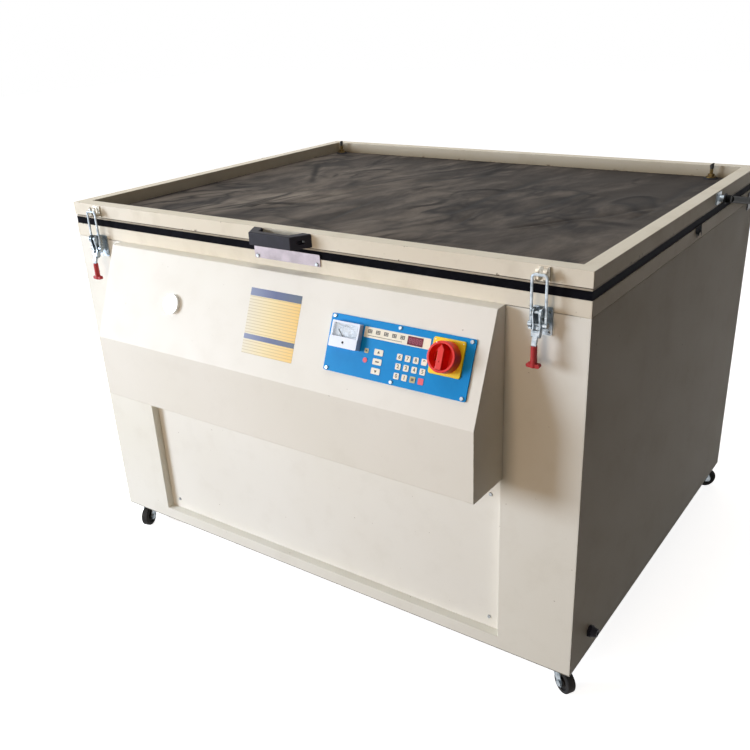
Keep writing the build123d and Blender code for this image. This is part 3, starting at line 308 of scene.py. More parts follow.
# name, colour, faded, share of fading, least and most roughness, grain and its height in mm, shine
seal_rubber = moulded("black_epdm_rubber_seal", "#09090D", "#202027", 0.45, 0.55, 0.80, 2.5, 0.20, 0.02)
pad_rubber = moulded("black_rubber_washer", "#17171A", "#3A393B", 0.40, 0.50, 0.75, 1.5, 0.10, 0.2)
tyre_rubber = moulded("black_rubber_caster_tread", "#1B1B1C", "#4E4B46", 0.60, 0.60, 0.85, 1.8, 0.12, 0.2)
nylon = moulded("black_nylon_moulded", "#16141B", "#2B2833", 0.50, 0.42, 0.60, 0.4, 0.04, 0.16)
enclosure = moulded("black_abs_enclosure", "#1A1B1D", "#303134", 0.40, 0.40, 0.60, 0.5, 0.04)
fan_plastic = moulded("black_thermoplastic_fan", "#17181A", "#2C2D30", 0.40, 0.38, 0.55, 0.6, 0.03)
vinyl = moulded("red_vinyl_dipped_grip", "#A01C1E", "#C2494A", 0.45, 0.36, 0.55, 1.2, 0.08)
switch_red = moulded("red_abs_switch_knob", "#E3261C", "#EA4036", 0.40, 0.26, 0.38, 0.5, 0.02)
switch_yellow = moulded("yellow_abs_switch_plate", "#F5D20A", "#EEC805", 0.45, 0.28, 0.42, 0.5, 0.02)
meter_white = moulded("white_abs_meter_case", "#E4E9F2", "#D3DAE6", 0.50, 0.22, 0.34, 0.5, 0.02)
overlay_blue = moulded("blue_polyester_membrane_overlay", "#0088CE", "#1294D6", 0.50, 0.34, 0.46, 0.35, 0.02,
                       0.12)
key_cream = moulded("cream_printed_key", "#ECE6D2", "#DFD6BC", 0.50, 0.36, 0.48, 0.4, 0.02)
key_olive = moulded("olive_printed_key", "#BFB27A", "#A89B66", 0.50, 0.36, 0.48, 0.4, 0.02)
key_red = moulded("red_printed_key", "#E0525C", "#EA6F78", 0.50, 0.36, 0.48, 0.4, 0.02)
print("plastics:", nylon.name, switch_red.name, overlay_blue.name)

# %% [markdown]
# ## Paints and glass inside the cabinet
# The pump is stove enamelled, the ballast is varnished steel sheets whose edges show as lines,
# and the cylinder of a gas strut is painted black. Glass lets light through, so it only needs
# transmission, an IOR of 1.52 and a faint tint.

# %% Paints and glass
pump_enamel = moulded("blue_grey_stove_enamel", "#2C3F58", "#40546C", 0.4, 0.24, 0.40, 1.4, 0.05)
rod_nitrided = moulded("black_nitrided_steel_rod", "#1A1A1C", "#2A2A2C", 0.4, 0.45, 0.60, 1.2, 0.01, 0.03)
strut_paint = moulded("black_gloss_cylinder_paint", "#131414", "#202222", 0.4, 0.42, 0.55, 1.2, 0.02, 0.03)


def laminated(name, colour, edge, sheet_mm):
    material, shader, place = start(name, colour, 0.45, metallic=0.4)
    layers = add(material, "TexWave", {"Vector": place, "Scale": per_metre(sheet_mm * 20) * math.pi,
                                       "Distortion": 0.4, "Detail": 1.0}, out="Fac", bands_direction="X")
    tone = add(material, "ValToRGB", {"Fac": layers}, stops=[(0.3, colour), (0.8, edge)])
    bump = add(material, "Bump", {"Height": layers, "Strength": 0.3, "Distance": 0.2 * MM})
    plug(material, shader, {"Base Color": tone, "Normal": bump})
    return material


def clear(name, tint, roughness, ior):
    material, shader, place = start(name, tint, roughness, ior=ior)
    wave = add(material, "TexNoise", {"Vector": place, "Scale": per_metre(120), "Detail": 1.0})
    bump = add(material, "Bump", {"Height": wave, "Strength": 0.02, "Distance": 0.1 * MM})
    plug(material, shader, {"Transmission Weight": 1.0, "Normal": bump})
    return material


laminations = laminated("varnished_steel_laminations", "#26262A", "#3C3A3A", 1.0)
float_glass = clear("float_glass_bed", "#EFF7F2", 0.0, 1.52)
window_acrylic = clear("clear_acrylic_window", "#F6FAFD", 0.02, 1.49)
quartz = clear("quartz_lamp_tube", "#F4F6FA", 0.03, 1.46)
print("glass:", float_glass.name, "paint:", pump_enamel.name)

# %% [markdown]
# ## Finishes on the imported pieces
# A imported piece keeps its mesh, and only its material slots change. So a table from finish to
# pieces is enough, and the count shows that none was left out.

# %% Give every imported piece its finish
FINISHES = {
    cabinet_coat: ["side_panels", "rear_panel", "front_panel", "base_pan"],
    access_coat: ["access_panel"],
    console_coat: ["console_housing"],
    rail_coat: ["top_rail_frame", "lid_frame", "base_frame"],
    zinc: ["latch_bases", "latch_lever_left", "latch_lever_right", "latch_bail_left", "latch_bail_right",
           "hinge_leaves_fixed", "hinge_leaves_moving", "lid_studs", "caster_plates",
           "caster_fork_fl", "caster_fork_fr", "caster_fork_rl", "caster_fork_rr"],
    keeper_zinc: ["latch_keepers"],
    bracket_steel: ["strut_brackets"],
    screw_steel: ["panel_screws"],
    strip_coat: ["blanket_clamp_strip"],
    plate_aluminium: ["front_stop_plate"],
    bright_sheet: ["reflector"],
    chrome: ["gauge_case"],
    rod_nitrided: ["strut_rod_left", "strut_rod_right"],
    seal_rubber: ["rim_seal"],
    pad_rubber: ["lid_stud_washers", "rubber_blanket"],
    tyre_rubber: ["caster_wheel_fl", "caster_wheel_fr", "caster_wheel_rl", "caster_wheel_rr"],
    nylon: ["lid_handle", "cable_gland", "meter_needle", "gauge_needle"],
    enclosure: ["timer_module", "switch_body"],
    fan_plastic: ["fan_frame", "fan_rotor"],
    vinyl: ["latch_grip_left", "latch_grip_right"],
    switch_red: ["switch_knob"],
    switch_yellow: ["switch_plate"],
    meter_white: ["meter_case"],
    overlay_blue: ["control_panel"],
    pump_enamel: ["vacuum_pump"],
    strut_paint: ["strut_tube_left", "strut_tube_right"],
    laminations: ["ballast"],
    float_glass: ["glass_plate"],
    window_acrylic: ["instrument_windows"],
    quartz: ["uv_lamp"],
    brass: ["vacuum_nipples"],
}
for material, names in FINISHES.items():
    for name in names:
        slots = nodes[name].data.materials
        slots.clear()
        slots.append(material)
print(sum(map(len, FINISHES.values())), "of", len(nodes), "pieces have a finish")

# %% [markdown]
# ## Pieces on the sloping console
# Keys, dials and labels lie on the console's sloping face. It is easiest to model each of them
# flat, at the origin, in millimetres, and to bring the finished mesh up the slope with one
# matrix. Its axes are: across the machine, up the slope, and out from the sheet. A single flat
# face has no inside, so it is turned to look outwards.

# %% Helpers for pieces on the slope
FOLD = Vector((0.0, -0.560, 0.6005))
SLOPE_DEPTH, SLOPE_RISE = 0.080, 0.1925
LEAN = math.atan2(SLOPE_DEPTH, SLOPE_RISE)
SLOPE = Matrix(((1, 0, 0, FOLD.x), (0, math.sin(LEAN), -math.cos(LEAN), FOLD.y),
                (0, math.cos(LEAN), math.sin(LEAN), FOLD.z), (0, 0, 0, 1)))
PANEL = SLOPE @ Matrix.Translation((0.306, 0.099, 0.003))


def meshed(name, shape):
    """Mesh of a bmesh, which is used up."""
    mesh = bpy.data.meshes.new(name)
    shape.to_mesh(mesh)
    shape.free()
    return mesh


def finish_piece(name, shape, material, body, place=Matrix.Identity(4)):
    """Turn a bmesh into an object at the origin that rides on its body."""
    bmesh.ops.recalc_face_normals(shape, faces=shape.faces)
    alone = [face for face in shape.faces if all(edge.is_boundary for edge in face.edges)]
    bmesh.ops.reverse_faces(shape, faces=[face for face in alone if face.normal.z < 0])
    shape.transform(place)
    piece = show(name, meshed(name, shape))
    piece.data.materials.append(material)
    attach(piece, body)
    return piece


def soften(shape, edges, radius, segments):
    """Round some edges of a bmesh, radius in mm."""
    bmesh.ops.bevel(shape, geom=edges, offset=radius * MM, affect="EDGES", segments=segments, profile=0.5,
                    material=-1)


def tile(shape, x, y, wide, high, low, thick, corner):
    """Add a thin plate with rounded corners to a bmesh, all in mm."""
    made = bmesh.ops.create_cube(shape, size=MM)["verts"]
    bmesh.ops.scale(shape, vec=(wide, high, thick), verts=made)
    bmesh.ops.translate(shape, vec=(x * MM, y * MM, (low + thick / 2) * MM), verts=made)
    edges = dict.fromkeys(edge for vert in made for edge in vert.link_edges)
    upright = [edge for edge in edges if abs(edge.verts[0].co.z - edge.verts[1].co.z) > thick * MM / 2]
    soften(shape, upright, corner, 5)


def disc(shape, x, y, middle, radius, top_radius, thick, sides):
    """Add a round plate to a bmesh, all in mm. Its rim may taper to another radius."""
    made = bmesh.ops.create_cone(shape, cap_ends=True, segments=sides, radius1=radius * MM,
                                 radius2=top_radius * MM, depth=thick * MM)["verts"]
    bmesh.ops.translate(shape, vec=(x * MM, y * MM, middle * MM), verts=made)


print("slope leans", round(math.degrees(LEAN), 2), "degrees")

# %% [markdown]
# ## Printed keys
# A membrane keyboard has no caps: the keys are printed on the overlay and embossed. The packed
# panel already has the raised fields, so a printed tile of 0.15 mm lies on each. Twelve make
# the number pad, three wide ones the program keys, and two the mode and its lamp.

# %% Printed keys
KEY_TOP, PRINT = 0.6, 0.15
KEY, WIDE_KEY, KEY_CORNER, PITCH = 11.2, 19, 1.8, 17
PAD_X, PAD_Y = 34.5, -18.8
WIDE_KEY_X, MODE_X, MODE_Y = -36, -62.5, -2.8

cream_keys, olive_keys, red_keys = bmesh.new(), bmesh.new(), bmesh.new()
for row in (1, 0, -1):
    for column in range(4):
        ink = {(-1, 2): olive_keys, (-1, 3): red_keys}.get((row, column), cream_keys)
        tile(ink, PAD_X + (column - 1.5) * PITCH, PAD_Y + row * PITCH, KEY, KEY, KEY_TOP, PRINT, KEY_CORNER)
    tile(cream_keys, WIDE_KEY_X, PAD_Y + row * PITCH, WIDE_KEY, KEY, KEY_TOP, PRINT, KEY_CORNER)
tile(olive_keys, MODE_X, MODE_Y, 8.4, 8.4, KEY_TOP, PRINT, 1.2)
disc(red_keys, MODE_X, -20, KEY_TOP + PRINT / 2, 4.7, 4.5, PRINT, 32)
for name, shape, ink in (("keys_cream", cream_keys, key_cream), ("keys_olive", olive_keys, key_olive),
                         ("keys_red", red_keys, key_red)):
    piece = finish_piece(name, shape, ink, "cabinet", PANEL)
    print(name, len(piece.data.polygons), "faces")

# %% [markdown]
# ## Key legends
# The ten cream keys of the pad carry the ten digits. The wide keys only get generic arrows and a
# bar, and two others a plain field. Text is a curve in Blender. It is turned into a mesh before
# it is placed, so that the object itself stays at the origin. Ink, card and cast acrylic are
# all smooth, with a tone that varies a little, so they share a recipe.

# %% Digits and marks on the keys
def printed(name, colour, dark, light, roughness, grain_mm, detail, dark_end=0.3, ior=1.5):
    material, shader, place = start(name, colour, roughness, ior=ior)
    cover = add(material, "TexNoise", {"Vector": place, "Scale": per_metre(grain_mm), "Detail": detail})
    tone = add(material, "ValToRGB", {"Fac": cover}, stops=[(dark_end, dark), (0.7, light)])
    plug(material, shader, {"Base Color": tone})
    return material


ink_dark = printed("dark_screen_printed_ink", "#3A3428", "#3A3428", "#575040", 0.5, 0.8, 2.0)
INK_LOW = KEY_TOP + PRINT + 0.03


def written(text, height, x, y, place):
    """Flat text as a mesh, centred on x and y, all in mm."""
    curve = bpy.data.curves.new("mark", "FONT")
    curve.body, curve.size, curve.offset = text, height * MM, 0.25 * MM
    curve.align_x, curve.align_y = "CENTER", "CENTER"
    mark = show("mark", curve)
    bpy.context.view_layer.update()
    mesh = bpy.data.meshes.new_from_object(mark)
    bpy.data.objects.remove(mark)
    mesh.transform(place @ Matrix.Translation((x * MM, y * MM, INK_LOW * MM)))
    return mesh


legends = bmesh.new()
for row, digits in ((1, "6789"), (0, "2345"), (-1, "01")):
    for column, digit in enumerate(digits):
        legends.from_mesh(written(digit, 9.5, PAD_X + (column - 1.5) * PITCH, PAD_Y + row * PITCH, PANEL))
key_digits = finish_piece("key_digits", legends, ink_dark, "cabinet")

marks = bmesh.new()
for row, sides, degrees in ((1, 3, 0), (0, 4, 45), (-1, 3, 180)):
    mark = bmesh.ops.create_circle(marks, cap_ends=True, segments=sides, radius=3.4 * MM)["verts"]
    turn = Matrix.Rotation(math.radians(degrees), 3, "Z")
    bmesh.ops.rotate(marks, cent=(0, 0, 0), matrix=turn, verts=mark)
    if sides == 4:
        bmesh.ops.scale(marks, vec=(1.7, 0.5, 1), verts=mark)
    bmesh.ops.translate(marks, vec=Vector((WIDE_KEY_X, PAD_Y + row * PITCH, INK_LOW)) * MM, verts=mark)
tile(marks, PAD_X + 0.5 * PITCH, PAD_Y - PITCH, 6, 5, KEY_TOP + PRINT, 0.05, 0.5)
tile(marks, MODE_X, MODE_Y, 4.6, 3.4, KEY_TOP + PRINT, 0.05, 0.5)
key_marks = finish_piece("key_marks", marks, ink_dark, "cabinet", PANEL)
print("digits", len(key_digits.data.polygons), "faces, marks", len(key_marks.data.polygons))

# %% [markdown]
# ## Title strip and time window
# Above the keys lies a pale strip with a dark red window for the time. Five plain grids, one
# for each function, and a ruled line are printed on the strip. The window holds four unlit
# figures. Each is drawn as the seven bars of a display, a little paler than the red acrylic.

# %% Title strip, window and figures
WINDOW_X, WINDOW_Y, WINDOW_THICK = 35, 30.3, 0.3
GRID_Y = 32.6

strip = bmesh.new()
tile(strip, -4, 30.5, 140, 19.4, KEY_TOP, PRINT, 1.8)
finish_piece("title_strip", strip, key_cream, "cabinet", PANEL)
fields = bmesh.new()
for i in range(5):
    x = -62 + 17.5 * i
    for dy in (-2.6, 0, 2.6):
        tile(fields, x, GRID_Y + dy, 9.6, 1.5, KEY_TOP + PRINT, 0.05, 0.3)
    for dx in (-3.6, 0, 3.6):
        tile(fields, x + dx, GRID_Y, 1.5, 6.4, KEY_TOP + PRINT, 0.06, 0.3)
tile(fields, -29, 24.8, 74, 0.9, KEY_TOP + PRINT, 0.05, 0.3)
finish_piece("title_strip_marks", fields, ink_dark, "cabinet", PANEL)

filter_red = printed("dark_red_acrylic_filter", "#6E1F33", "#5C1829", "#7E2A3F", 0.16, 16, 3.0, 0.35, 1.49)
window = bmesh.new()
tile(window, WINDOW_X, WINDOW_Y, 32, 15.5, KEY_TOP + PRINT, WINDOW_THICK, 0.8)
finish_piece("time_window", window, filter_red, "cabinet", PANEL)

bar_red = printed("red_display_bars_unlit", "#A8415A", "#9A3550", "#B44C64", 0.4, 3, 2.0)
figures = bmesh.new()
bar_low = KEY_TOP + PRINT + WINDOW_THICK
for figure in range(4):
    x = WINDOW_X + (figure - 1.5) * 7
    for dy in (-4, 0, 4):
        tile(figures, x, WINDOW_Y + dy, 3.2, 0.8, bar_low, 0.05, 0.2)
    for dx in (-2, 2):
        for dy in (-2, 2):
            tile(figures, x + dx, WINDOW_Y + dy, 0.8, 3.0, bar_low, 0.05, 0.2)
finish_piece("time_figures", figures, bar_red, "cabinet", PANEL)
print("display: 4 figures of 7 bars")

# %% [markdown]
# ## Meter and gauge faces
# A dial is a printed card under the window. Its scale is a fan of short lines, each made
# upright and then turned to its place on the arc. Every fifth line is longer.

# %% Dial cards
card_white = printed("white_printed_dial_card", "#EDF0F4", "#E3E8F0", "#F2F4F7", 0.6, 1.2, 3.0)


def scale_lines(shape, y, radius, first, last, count, long, low):
    """Lines of a dial, in mm, from one angle to another, measured from straight up."""
    for i in range(count):
        angle = math.radians(first + (last - first) * i / (count - 1))
        length = long * (1.0 if i % 5 == 0 else 0.6)
        line = bmesh.ops.create_cube(shape, size=MM)["verts"]
        bmesh.ops.scale(shape, vec=(0.35, length, 0.05), verts=line)
        bmesh.ops.translate(shape, vec=(0, (radius - length / 2) * MM, low * MM), verts=line)
        bmesh.ops.rotate(shape, cent=(0, 0, 0), matrix=Matrix.Rotation(-angle, 3, "Z"), verts=line)
        bmesh.ops.translate(shape, vec=(0, y * MM, 0), verts=line)


METER = PANEL @ Matrix.Translation((-0.109, 0.017, 0.0))
meter_card = bmesh.new()
tile(meter_card, 0, 1.5, 53, 36, 5.0, 0.15, 0.5)
finish_piece("meter_card", meter_card, card_white, "cabinet", METER)
meter_scale = bmesh.new()
scale_lines(meter_scale, -9, 26, -45, 45, 21, 3.4, 5.2)
finish_piece("meter_scale", meter_scale, ink_dark, "cabinet", METER)
zero = bmesh.new()
disc(zero, 0, -14, 13.9, 2.3, 2.0, 0.8, 24)
finish_piece("meter_zero_screw", zero, nylon, "cabinet", METER)

GAUGE = SLOPE @ Matrix.Translation((-0.266, 0.105, 0.0))
gauge_card = bmesh.new()
disc(gauge_card, 0, 0, 2.6, 17.8, 17.8, 0.15, 48)
finish_piece("gauge_card", gauge_card, card_white, "cabinet", GAUGE)
gauge_scale = bmesh.new()
scale_lines(gauge_scale, 0, 16.5, -135, 135, 31, 2.6, 2.72)
finish_piece("gauge_scale", gauge_scale, ink_dark, "cabinet", GAUGE)
print("meter scale 21 lines, gauge scale 31 lines")

# %% [markdown]
# The needle of the gauge is a wire too thin to read from a step away, so a broad tapered flag
# lies on it: a flat triangle with a counterweight disc. It rides on the needle's body and turns
# with it.

# %% Flag of the gauge needle
FLAG_TIP, FLAG_TAIL, FLAG_HALF = 14.6, -5, 1.7
FLAG_LIFT, REST_ANGLE = 4.55, 135

flag = bmesh.new()
corners = ((0, FLAG_TIP), (-FLAG_HALF, FLAG_TAIL), (FLAG_HALF, FLAG_TAIL))
flag.faces.new([flag.verts.new(Vector((x, y, 0)) * MM) for x, y in corners])
bmesh.ops.create_circle(flag, cap_ends=True, segments=28, radius=3.0 * MM)
bmesh.ops.solidify(flag, geom=flag.faces, thickness=0.2 * MM)
lifted = Matrix.Rotation(math.radians(REST_ANGLE), 4, "Z") @ Matrix.Translation((0, 0, FLAG_LIFT * MM))
finish_piece("gauge_needle_flag", flag, nylon, "gauge_needle", GAUGE @ lifted)
print("flag", FLAG_TIP - FLAG_TAIL, "mm long")

# %% [markdown]
# ## Marks of the switch
# A small white dot on the knob and two on the yellow plate show whether the supply is off or on.
# The dot on the knob rides on the knob's body, so it turns with it.

# %% Dots on the switch
SWITCH = PANEL @ Matrix.Translation((0.103, 0.0145, 0.0))
for name, body, radius, lift, angles in (("knob_dot", "switch_knob", 25.6, 27.35, (115,)),
                                         ("plate_dots", "cabinet", 39.0, 3.05, (45, 135))):
    dots = bmesh.new()
    for angle in map(math.radians, angles):
        disc(dots, radius * math.cos(angle), radius * math.sin(angle), lift, 1.1, 1.0, 0.2, 20)
    finish_piece(name, dots, card_white, body, SWITCH)
print("dots: 1 on the knob, 2 on the plate")

# %% [markdown]
# ## Screws of the handle
# A socket screw holds each foot of the bridge handle. From the front it is a small bright ring
# with a dark recess. The head is a short cylinder with its rim bevelled, and the socket is an
# inset of the top face that is pushed down.

# %% Handle screws
def socket_screw(shape, place):
    """Cap screw head, 8.4 mm across, looking out along the local z axis."""
    cut = bmesh.new()
    disc(cut, 0, 0, 0, 4.2, 4.2, 4.0, 24)
    top = max(cut.faces, key=lambda face: face.calc_center_median().z)
    soften(cut, list(top.edges), 0.5, 2)
    top = max(cut.faces, key=lambda face: face.calc_center_median().z)
    bmesh.ops.inset_individual(cut, faces=[top], thickness=1.6 * MM)
    whole = [face for face in cut.faces if len(face.verts) == 24]
    top = max(whole, key=lambda face: face.calc_center_median().z)
    bmesh.ops.translate(cut, vec=(0, 0, -2.0 * MM), verts=list(top.verts))
    cut.transform(place)
    shape.from_mesh(meshed("screw", cut))


FOOT_X, FOOT_Y, FOOT_Z = 0.062, -0.4612, 0.8553
screws = bmesh.new()
for x in (-FOOT_X, FOOT_X):
    forward = Matrix.Translation((x, FOOT_Y, FOOT_Z)) @ Matrix.Rotation(math.radians(90), 4, "X")
    socket_screw(screws, forward)
handle_screws = finish_piece("handle_screws", screws, screw_steel, "lid")
print("handle screws", len(handle_screws.data.polygons), "faces")

# %% [markdown]
# ## Loose end of the seal
# The rim seal is one length of rubber glued round the bed, and its last piece has come loose on
# the right side. It is a small grid: the lower edge is torn unevenly by a noise, and the flap
# curls a little away from the cabinet before it is given a thickness of 1.2 mm.

# %% Torn end of the rim seal
FLAP_CORNER = Vector((0.6356, 0.072, 0.8225))
FLAP_LONG, FLAP_CURL = 0.042, 0.0022

flap = bmesh.new()
bmesh.ops.create_grid(flap, x_segments=18, y_segments=8, size=1.0)
for vert in flap.verts:
    along, down = (vert.co.x + 1) / 2, (1 - vert.co.y) / 2
    torn = 0.010 + 0.018 * abs(noise.noise(Vector((along * 5.0, 3.1, 0.4)))) + 0.048 * max(0.0, along - 0.75)
    vert.co = FLAP_CORNER + Vector((FLAP_CURL * down * down, FLAP_LONG * along, -torn * down))
bmesh.ops.solidify(flap, geom=flap.faces, thickness=1.2 * MM)
seal_flap = finish_piece("seal_loose_end", flap, seal_rubber, "cabinet")
print("flap hangs to z", round(min(v.co.z for v in seal_flap.data.vertices), 4))

# %% [markdown]
# ## Instruction label
# The label beside the panel is a printed foil, 130 mm wide: a yellow field, two blue-grey bands
# and thin ruled lines, with a painted sheen that makes them paler towards the left. The print is
# worked out from Object coordinates, laid flat by a Mapping node.

# %% Instruction label
LABEL, LABEL_X, LABEL_Y = 130, 10, 106
RULED_LINES = 22.0

paper, shader, place = start("yellow_printed_foil_label", "#F0CF7E", 0.42, shine=0.3)
tilt = (LEAN - math.pi / 2, 0, 0)
upright = add(paper, "Mapping", {"Vector": place, "Rotation": tilt})
axes = add(paper, "SeparateXYZ", {"Vector": upright}).node.outputs
label_low = SLOPE @ Vector((LABEL_X * MM, (LABEL_Y - LABEL / 2) * MM, 0))
flat_low = (Euler(tilt).to_matrix() @ label_low).y
height = add(paper, "MapRange", {"Value": axes["Y"], "From Min": flat_low, "From Max": flat_low + LABEL * MM})
lines = add(paper, "Math", {0: height, 1: RULED_LINES}, operation="MULTIPLY")
teeth = add(paper, "Math", {0: lines}, operation="FRACT")
ruled = add(paper, "ValToRGB", {"Fac": teeth}, stops=[(0.0, 0.75), (0.34, 0.0)])
# Painted sheen: the yellow field and the bands are paler towards the left.
painted_sheen_across = add(paper, "MapRange", {"Value": axes["X"], "From Min": (LABEL_X - LABEL / 2) * MM,
                                 "From Max": (LABEL_X + LABEL / 2) * MM})
field = add(paper, "ValToRGB", {"Fac": painted_sheen_across}, stops=[(0.0, "#D8D0B6"), (0.45, "#E2CD90"), (1.0, "#E8BE5E")])
field_lined = add(paper, "Mix", {0: ruled, 6: field, 7: "#A58F58"}, data_type="RGBA")
bands = add(paper, "ValToRGB", {"Fac": height}, stops=[(0.0, 0.0), (0.215, 1.0), (0.295, 0.0), (0.88, 1.0)])
bands.node.color_ramp.interpolation = "CONSTANT"
band_tone = add(paper, "ValToRGB", {"Fac": painted_sheen_across},
                stops=[(0.0, "#727B98"), (0.5, "#414A75"), (1.0, "#46525F")])
banded = add(paper, "Mix", {0: bands, 6: field_lined, 7: band_tone}, data_type="RGBA")
plug(paper, shader, {"Base Color": banded})
label = bmesh.new()
tile(label, LABEL_X, LABEL_Y, LABEL, LABEL, 0.0, 0.25, 1.0)
finish_piece("instruction_label", label, paper, "cabinet", SLOPE)
print("label from", [round(v, 4) for v in label_low])

# %% [markdown]
# ## Rubber blanket
# The blanket is a 2 mm sheet of rubber, clamped all round under the lid frame. It isn't flat:
# it sags a few millimetres, ripples slowly, and keeps sharp creases from years of vacuum. A
# simulation would put the folds elsewhere each time the sizes change, so the sheet is a fine
# grid whose points are moved by four things added up: a sag, slow ripples, narrow wrinkles
# where a noise passes zero, and creases drawn one by one as a ridge beside a groove. Solidify
# then gives it its thickness.

# %% Blanket grid
HALF_W, BACK, FRONT = 0.632, 0.544, -0.450
CLAMPED_SIDES, CLAMPED_ENDS, EASE = 0.030, 0.027, 0.10
NIPPLES, PAD_HOLDS, PAD_EASE = ((-0.579, 0.497), (0.541, 0.497)), 0.022, 0.05
WIPE = math.radians(74)
CREASES = (
    # from x, y, to x, y, depth in mm, half width in mm
    (0.345, -0.144, 0.427, -0.016, 5.0, 10), (0.443, -0.007, 0.530, 0.146, 3.2, 16),
    (0.522, 0.027, 0.540, 0.133, 3.0, 9), (0.219, -0.145, 0.209, -0.066, 3.2, 9),
    (-0.053, 0.104, -0.039, 0.159, 3.5, 9), (0.040, -0.200, 0.115, -0.194, 2.4, 12),
    (0.160, -0.073, 0.153, 0.146, 2.2, 26), (0.153, 0.146, 0.170, 0.342, 2.0, 26),
    (0.530, 0.146, 0.530, 0.394, 2.2, 18), (-0.300, -0.226, -0.303, -0.156, 3.8, 11),
    (-0.248, -0.217, -0.174, 0.103, 2.6, 18), (-0.547, 0.339, -0.373, 0.092, 2.4, 14),
    (-0.050, -0.241, -0.074, -0.039, 2.6, 16), (-0.191, -0.259, 0.017, -0.310, 3.0, 14),
    (0.120, -0.330, 0.330, -0.290, 2.4, 14), (0.300, -0.020, 0.330, 0.230, 1.8, 24),
    (-0.430, -0.120, -0.250, 0.050, 1.8, 22), (-0.120, 0.180, 0.020, 0.360, 1.8, 24),
)


def clamped(value):
    return max(0.0, min(1.0, value))


def eased(value):
    """0 to 1, with a soft start and a soft end."""
    value = clamped(value)
    return value * value * (3 - 2 * value)


def crease_depth(x, y):
    """Height of the creases at a point, and how much painted shade their grooves get there."""
    height, painted_groove_shade = 0.0, 0.0
    for ax, ay, bx, by, deep, half in CREASES:
        run = Vector((bx - ax, by - ay))
        share = clamped(((x - ax) * run.x + (y - ay) * run.y) / run.length_squared)
        near = Vector((x - ax - share * run.x, y - ay - share * run.y))
        side = (near.x * run.y - near.y * run.x) / run.length
        reach = near.length / (half * MM)
        fade = math.exp(-reach * reach) * (0.35 + 0.65 * math.sin(math.pi * (0.08 + 0.84 * share)))
        across = side / (half * MM)
        height += 1.35 * deep * MM * fade * (0.9 * math.tanh(2.2 * across) - 0.25)
        # Painted shade in the groove beside each crease's ridge.
        painted_groove_shade = max(painted_groove_shade, min(1.0, deep / 2.0) * math.exp(-2.0 * (across + 0.12) ** 2) * fade)
    return height, painted_groove_shade


def blanket_height(x, y):
    """Height above the clamped plane at a point, and how much painted shade its grooves get there."""
    edge = min(HALF_W - CLAMPED_SIDES - abs(x), BACK - CLAMPED_ENDS - y, y - FRONT - CLAMPED_ENDS)
    free = eased(edge / EASE)
    for nx, ny in NIPPLES:
        free *= eased((math.hypot(x - nx, y - ny) - PAD_HOLDS) / PAD_EASE)
    lengthwise = x * math.cos(WIPE) + y * math.sin(WIPE)
    across = x * math.sin(WIPE) - y * math.cos(WIPE)
    along = Vector((1.15 * lengthwise, 2.3 * across, 0.3))
    slow = noise.noise(along * 3.2) * 3.0 + noise.noise(along * 8.0 + Vector((4, 7, 1))) * 1.8
    fine = noise.noise(Vector((x * 26, y * 26, 2.0))) * 0.5
    wrinkle = noise.noise(along * 4.6 + Vector((9, 2, 5)))
    some = clamped(2.6 * noise.noise(along * 2.1 + Vector((3, 8, 2))) + 0.25)
    ridge = some * max(0.0, 1 - 8 * abs(wrinkle)) ** 1.5
    # Painted shade in the groove beside each wrinkle's ridge.
    shade_beside_wrinkle = some * max(0.0, 1 - 9 * abs(wrinkle + 0.07))
    crease, painted_groove_shade = crease_depth(x, y)
    return (slow + fine + 1.6 * ridge - 2.4) * MM * free + crease * free, max(painted_groove_shade, 0.95 * shade_beside_wrinkle) * free


blanket_shape = bmesh.new()
bmesh.ops.create_grid(blanket_shape, x_segments=240, y_segments=190, size=1.0)
bmesh.ops.scale(blanket_shape, vec=(HALF_W, (BACK - FRONT) / 2, 1), verts=blanket_shape.verts)
bmesh.ops.translate(blanket_shape, vec=(0, (BACK + FRONT) / 2, 0), verts=blanket_shape.verts)
groove_shade_layer = blanket_shape.verts.layers.float.new("painted_groove_shade")
for vert in blanket_shape.verts:
    rise, vert[groove_shade_layer] = blanket_height(vert.co.x, vert.co.y)
    vert.co.z = LID_LOW - 0.15 * MM + rise
heights = [vert.co.z for vert in blanket_shape.verts]
print("blanket grid", len(heights), "points, from", round(min(heights), 4), "to", round(max(heights), 4))

# %% [markdown]
# The rubber is dark grey. Talc and dust have been wiped over it, which leaves pale clouds and
# long streaks in the direction of the wiping. Thin dark lines between them are painted shade of
# fine creases that the sheet's shape doesn't have. The grooves of the creases get painted shade
# too, and the rubber is darker towards the back right. A Mapping node of the texture type
# stretches and turns a noise, so the streaks run askew. A thin dark line is where a noise passes
# its middle value, kept only where a second noise is high. The painted shade of the grooves comes
# from the attribute that was written with the shape.

# %% Blanket material
LAYERS = {
    # degrees, stretch, scale, detail, roughness, distortion
    "cloud": (76, 1.8, 4.8, 9.0, 0.68, 0.6),
    "streak": (68, 4.2, 9.0, 7.0, 0.60, 1.4),
    "crossing": (92, 3.0, 7.0, 7.0, 0.60, 1.4),
    "smear": (74, 3.0, 5.6, 4.0, 0.5, 1.8),
}

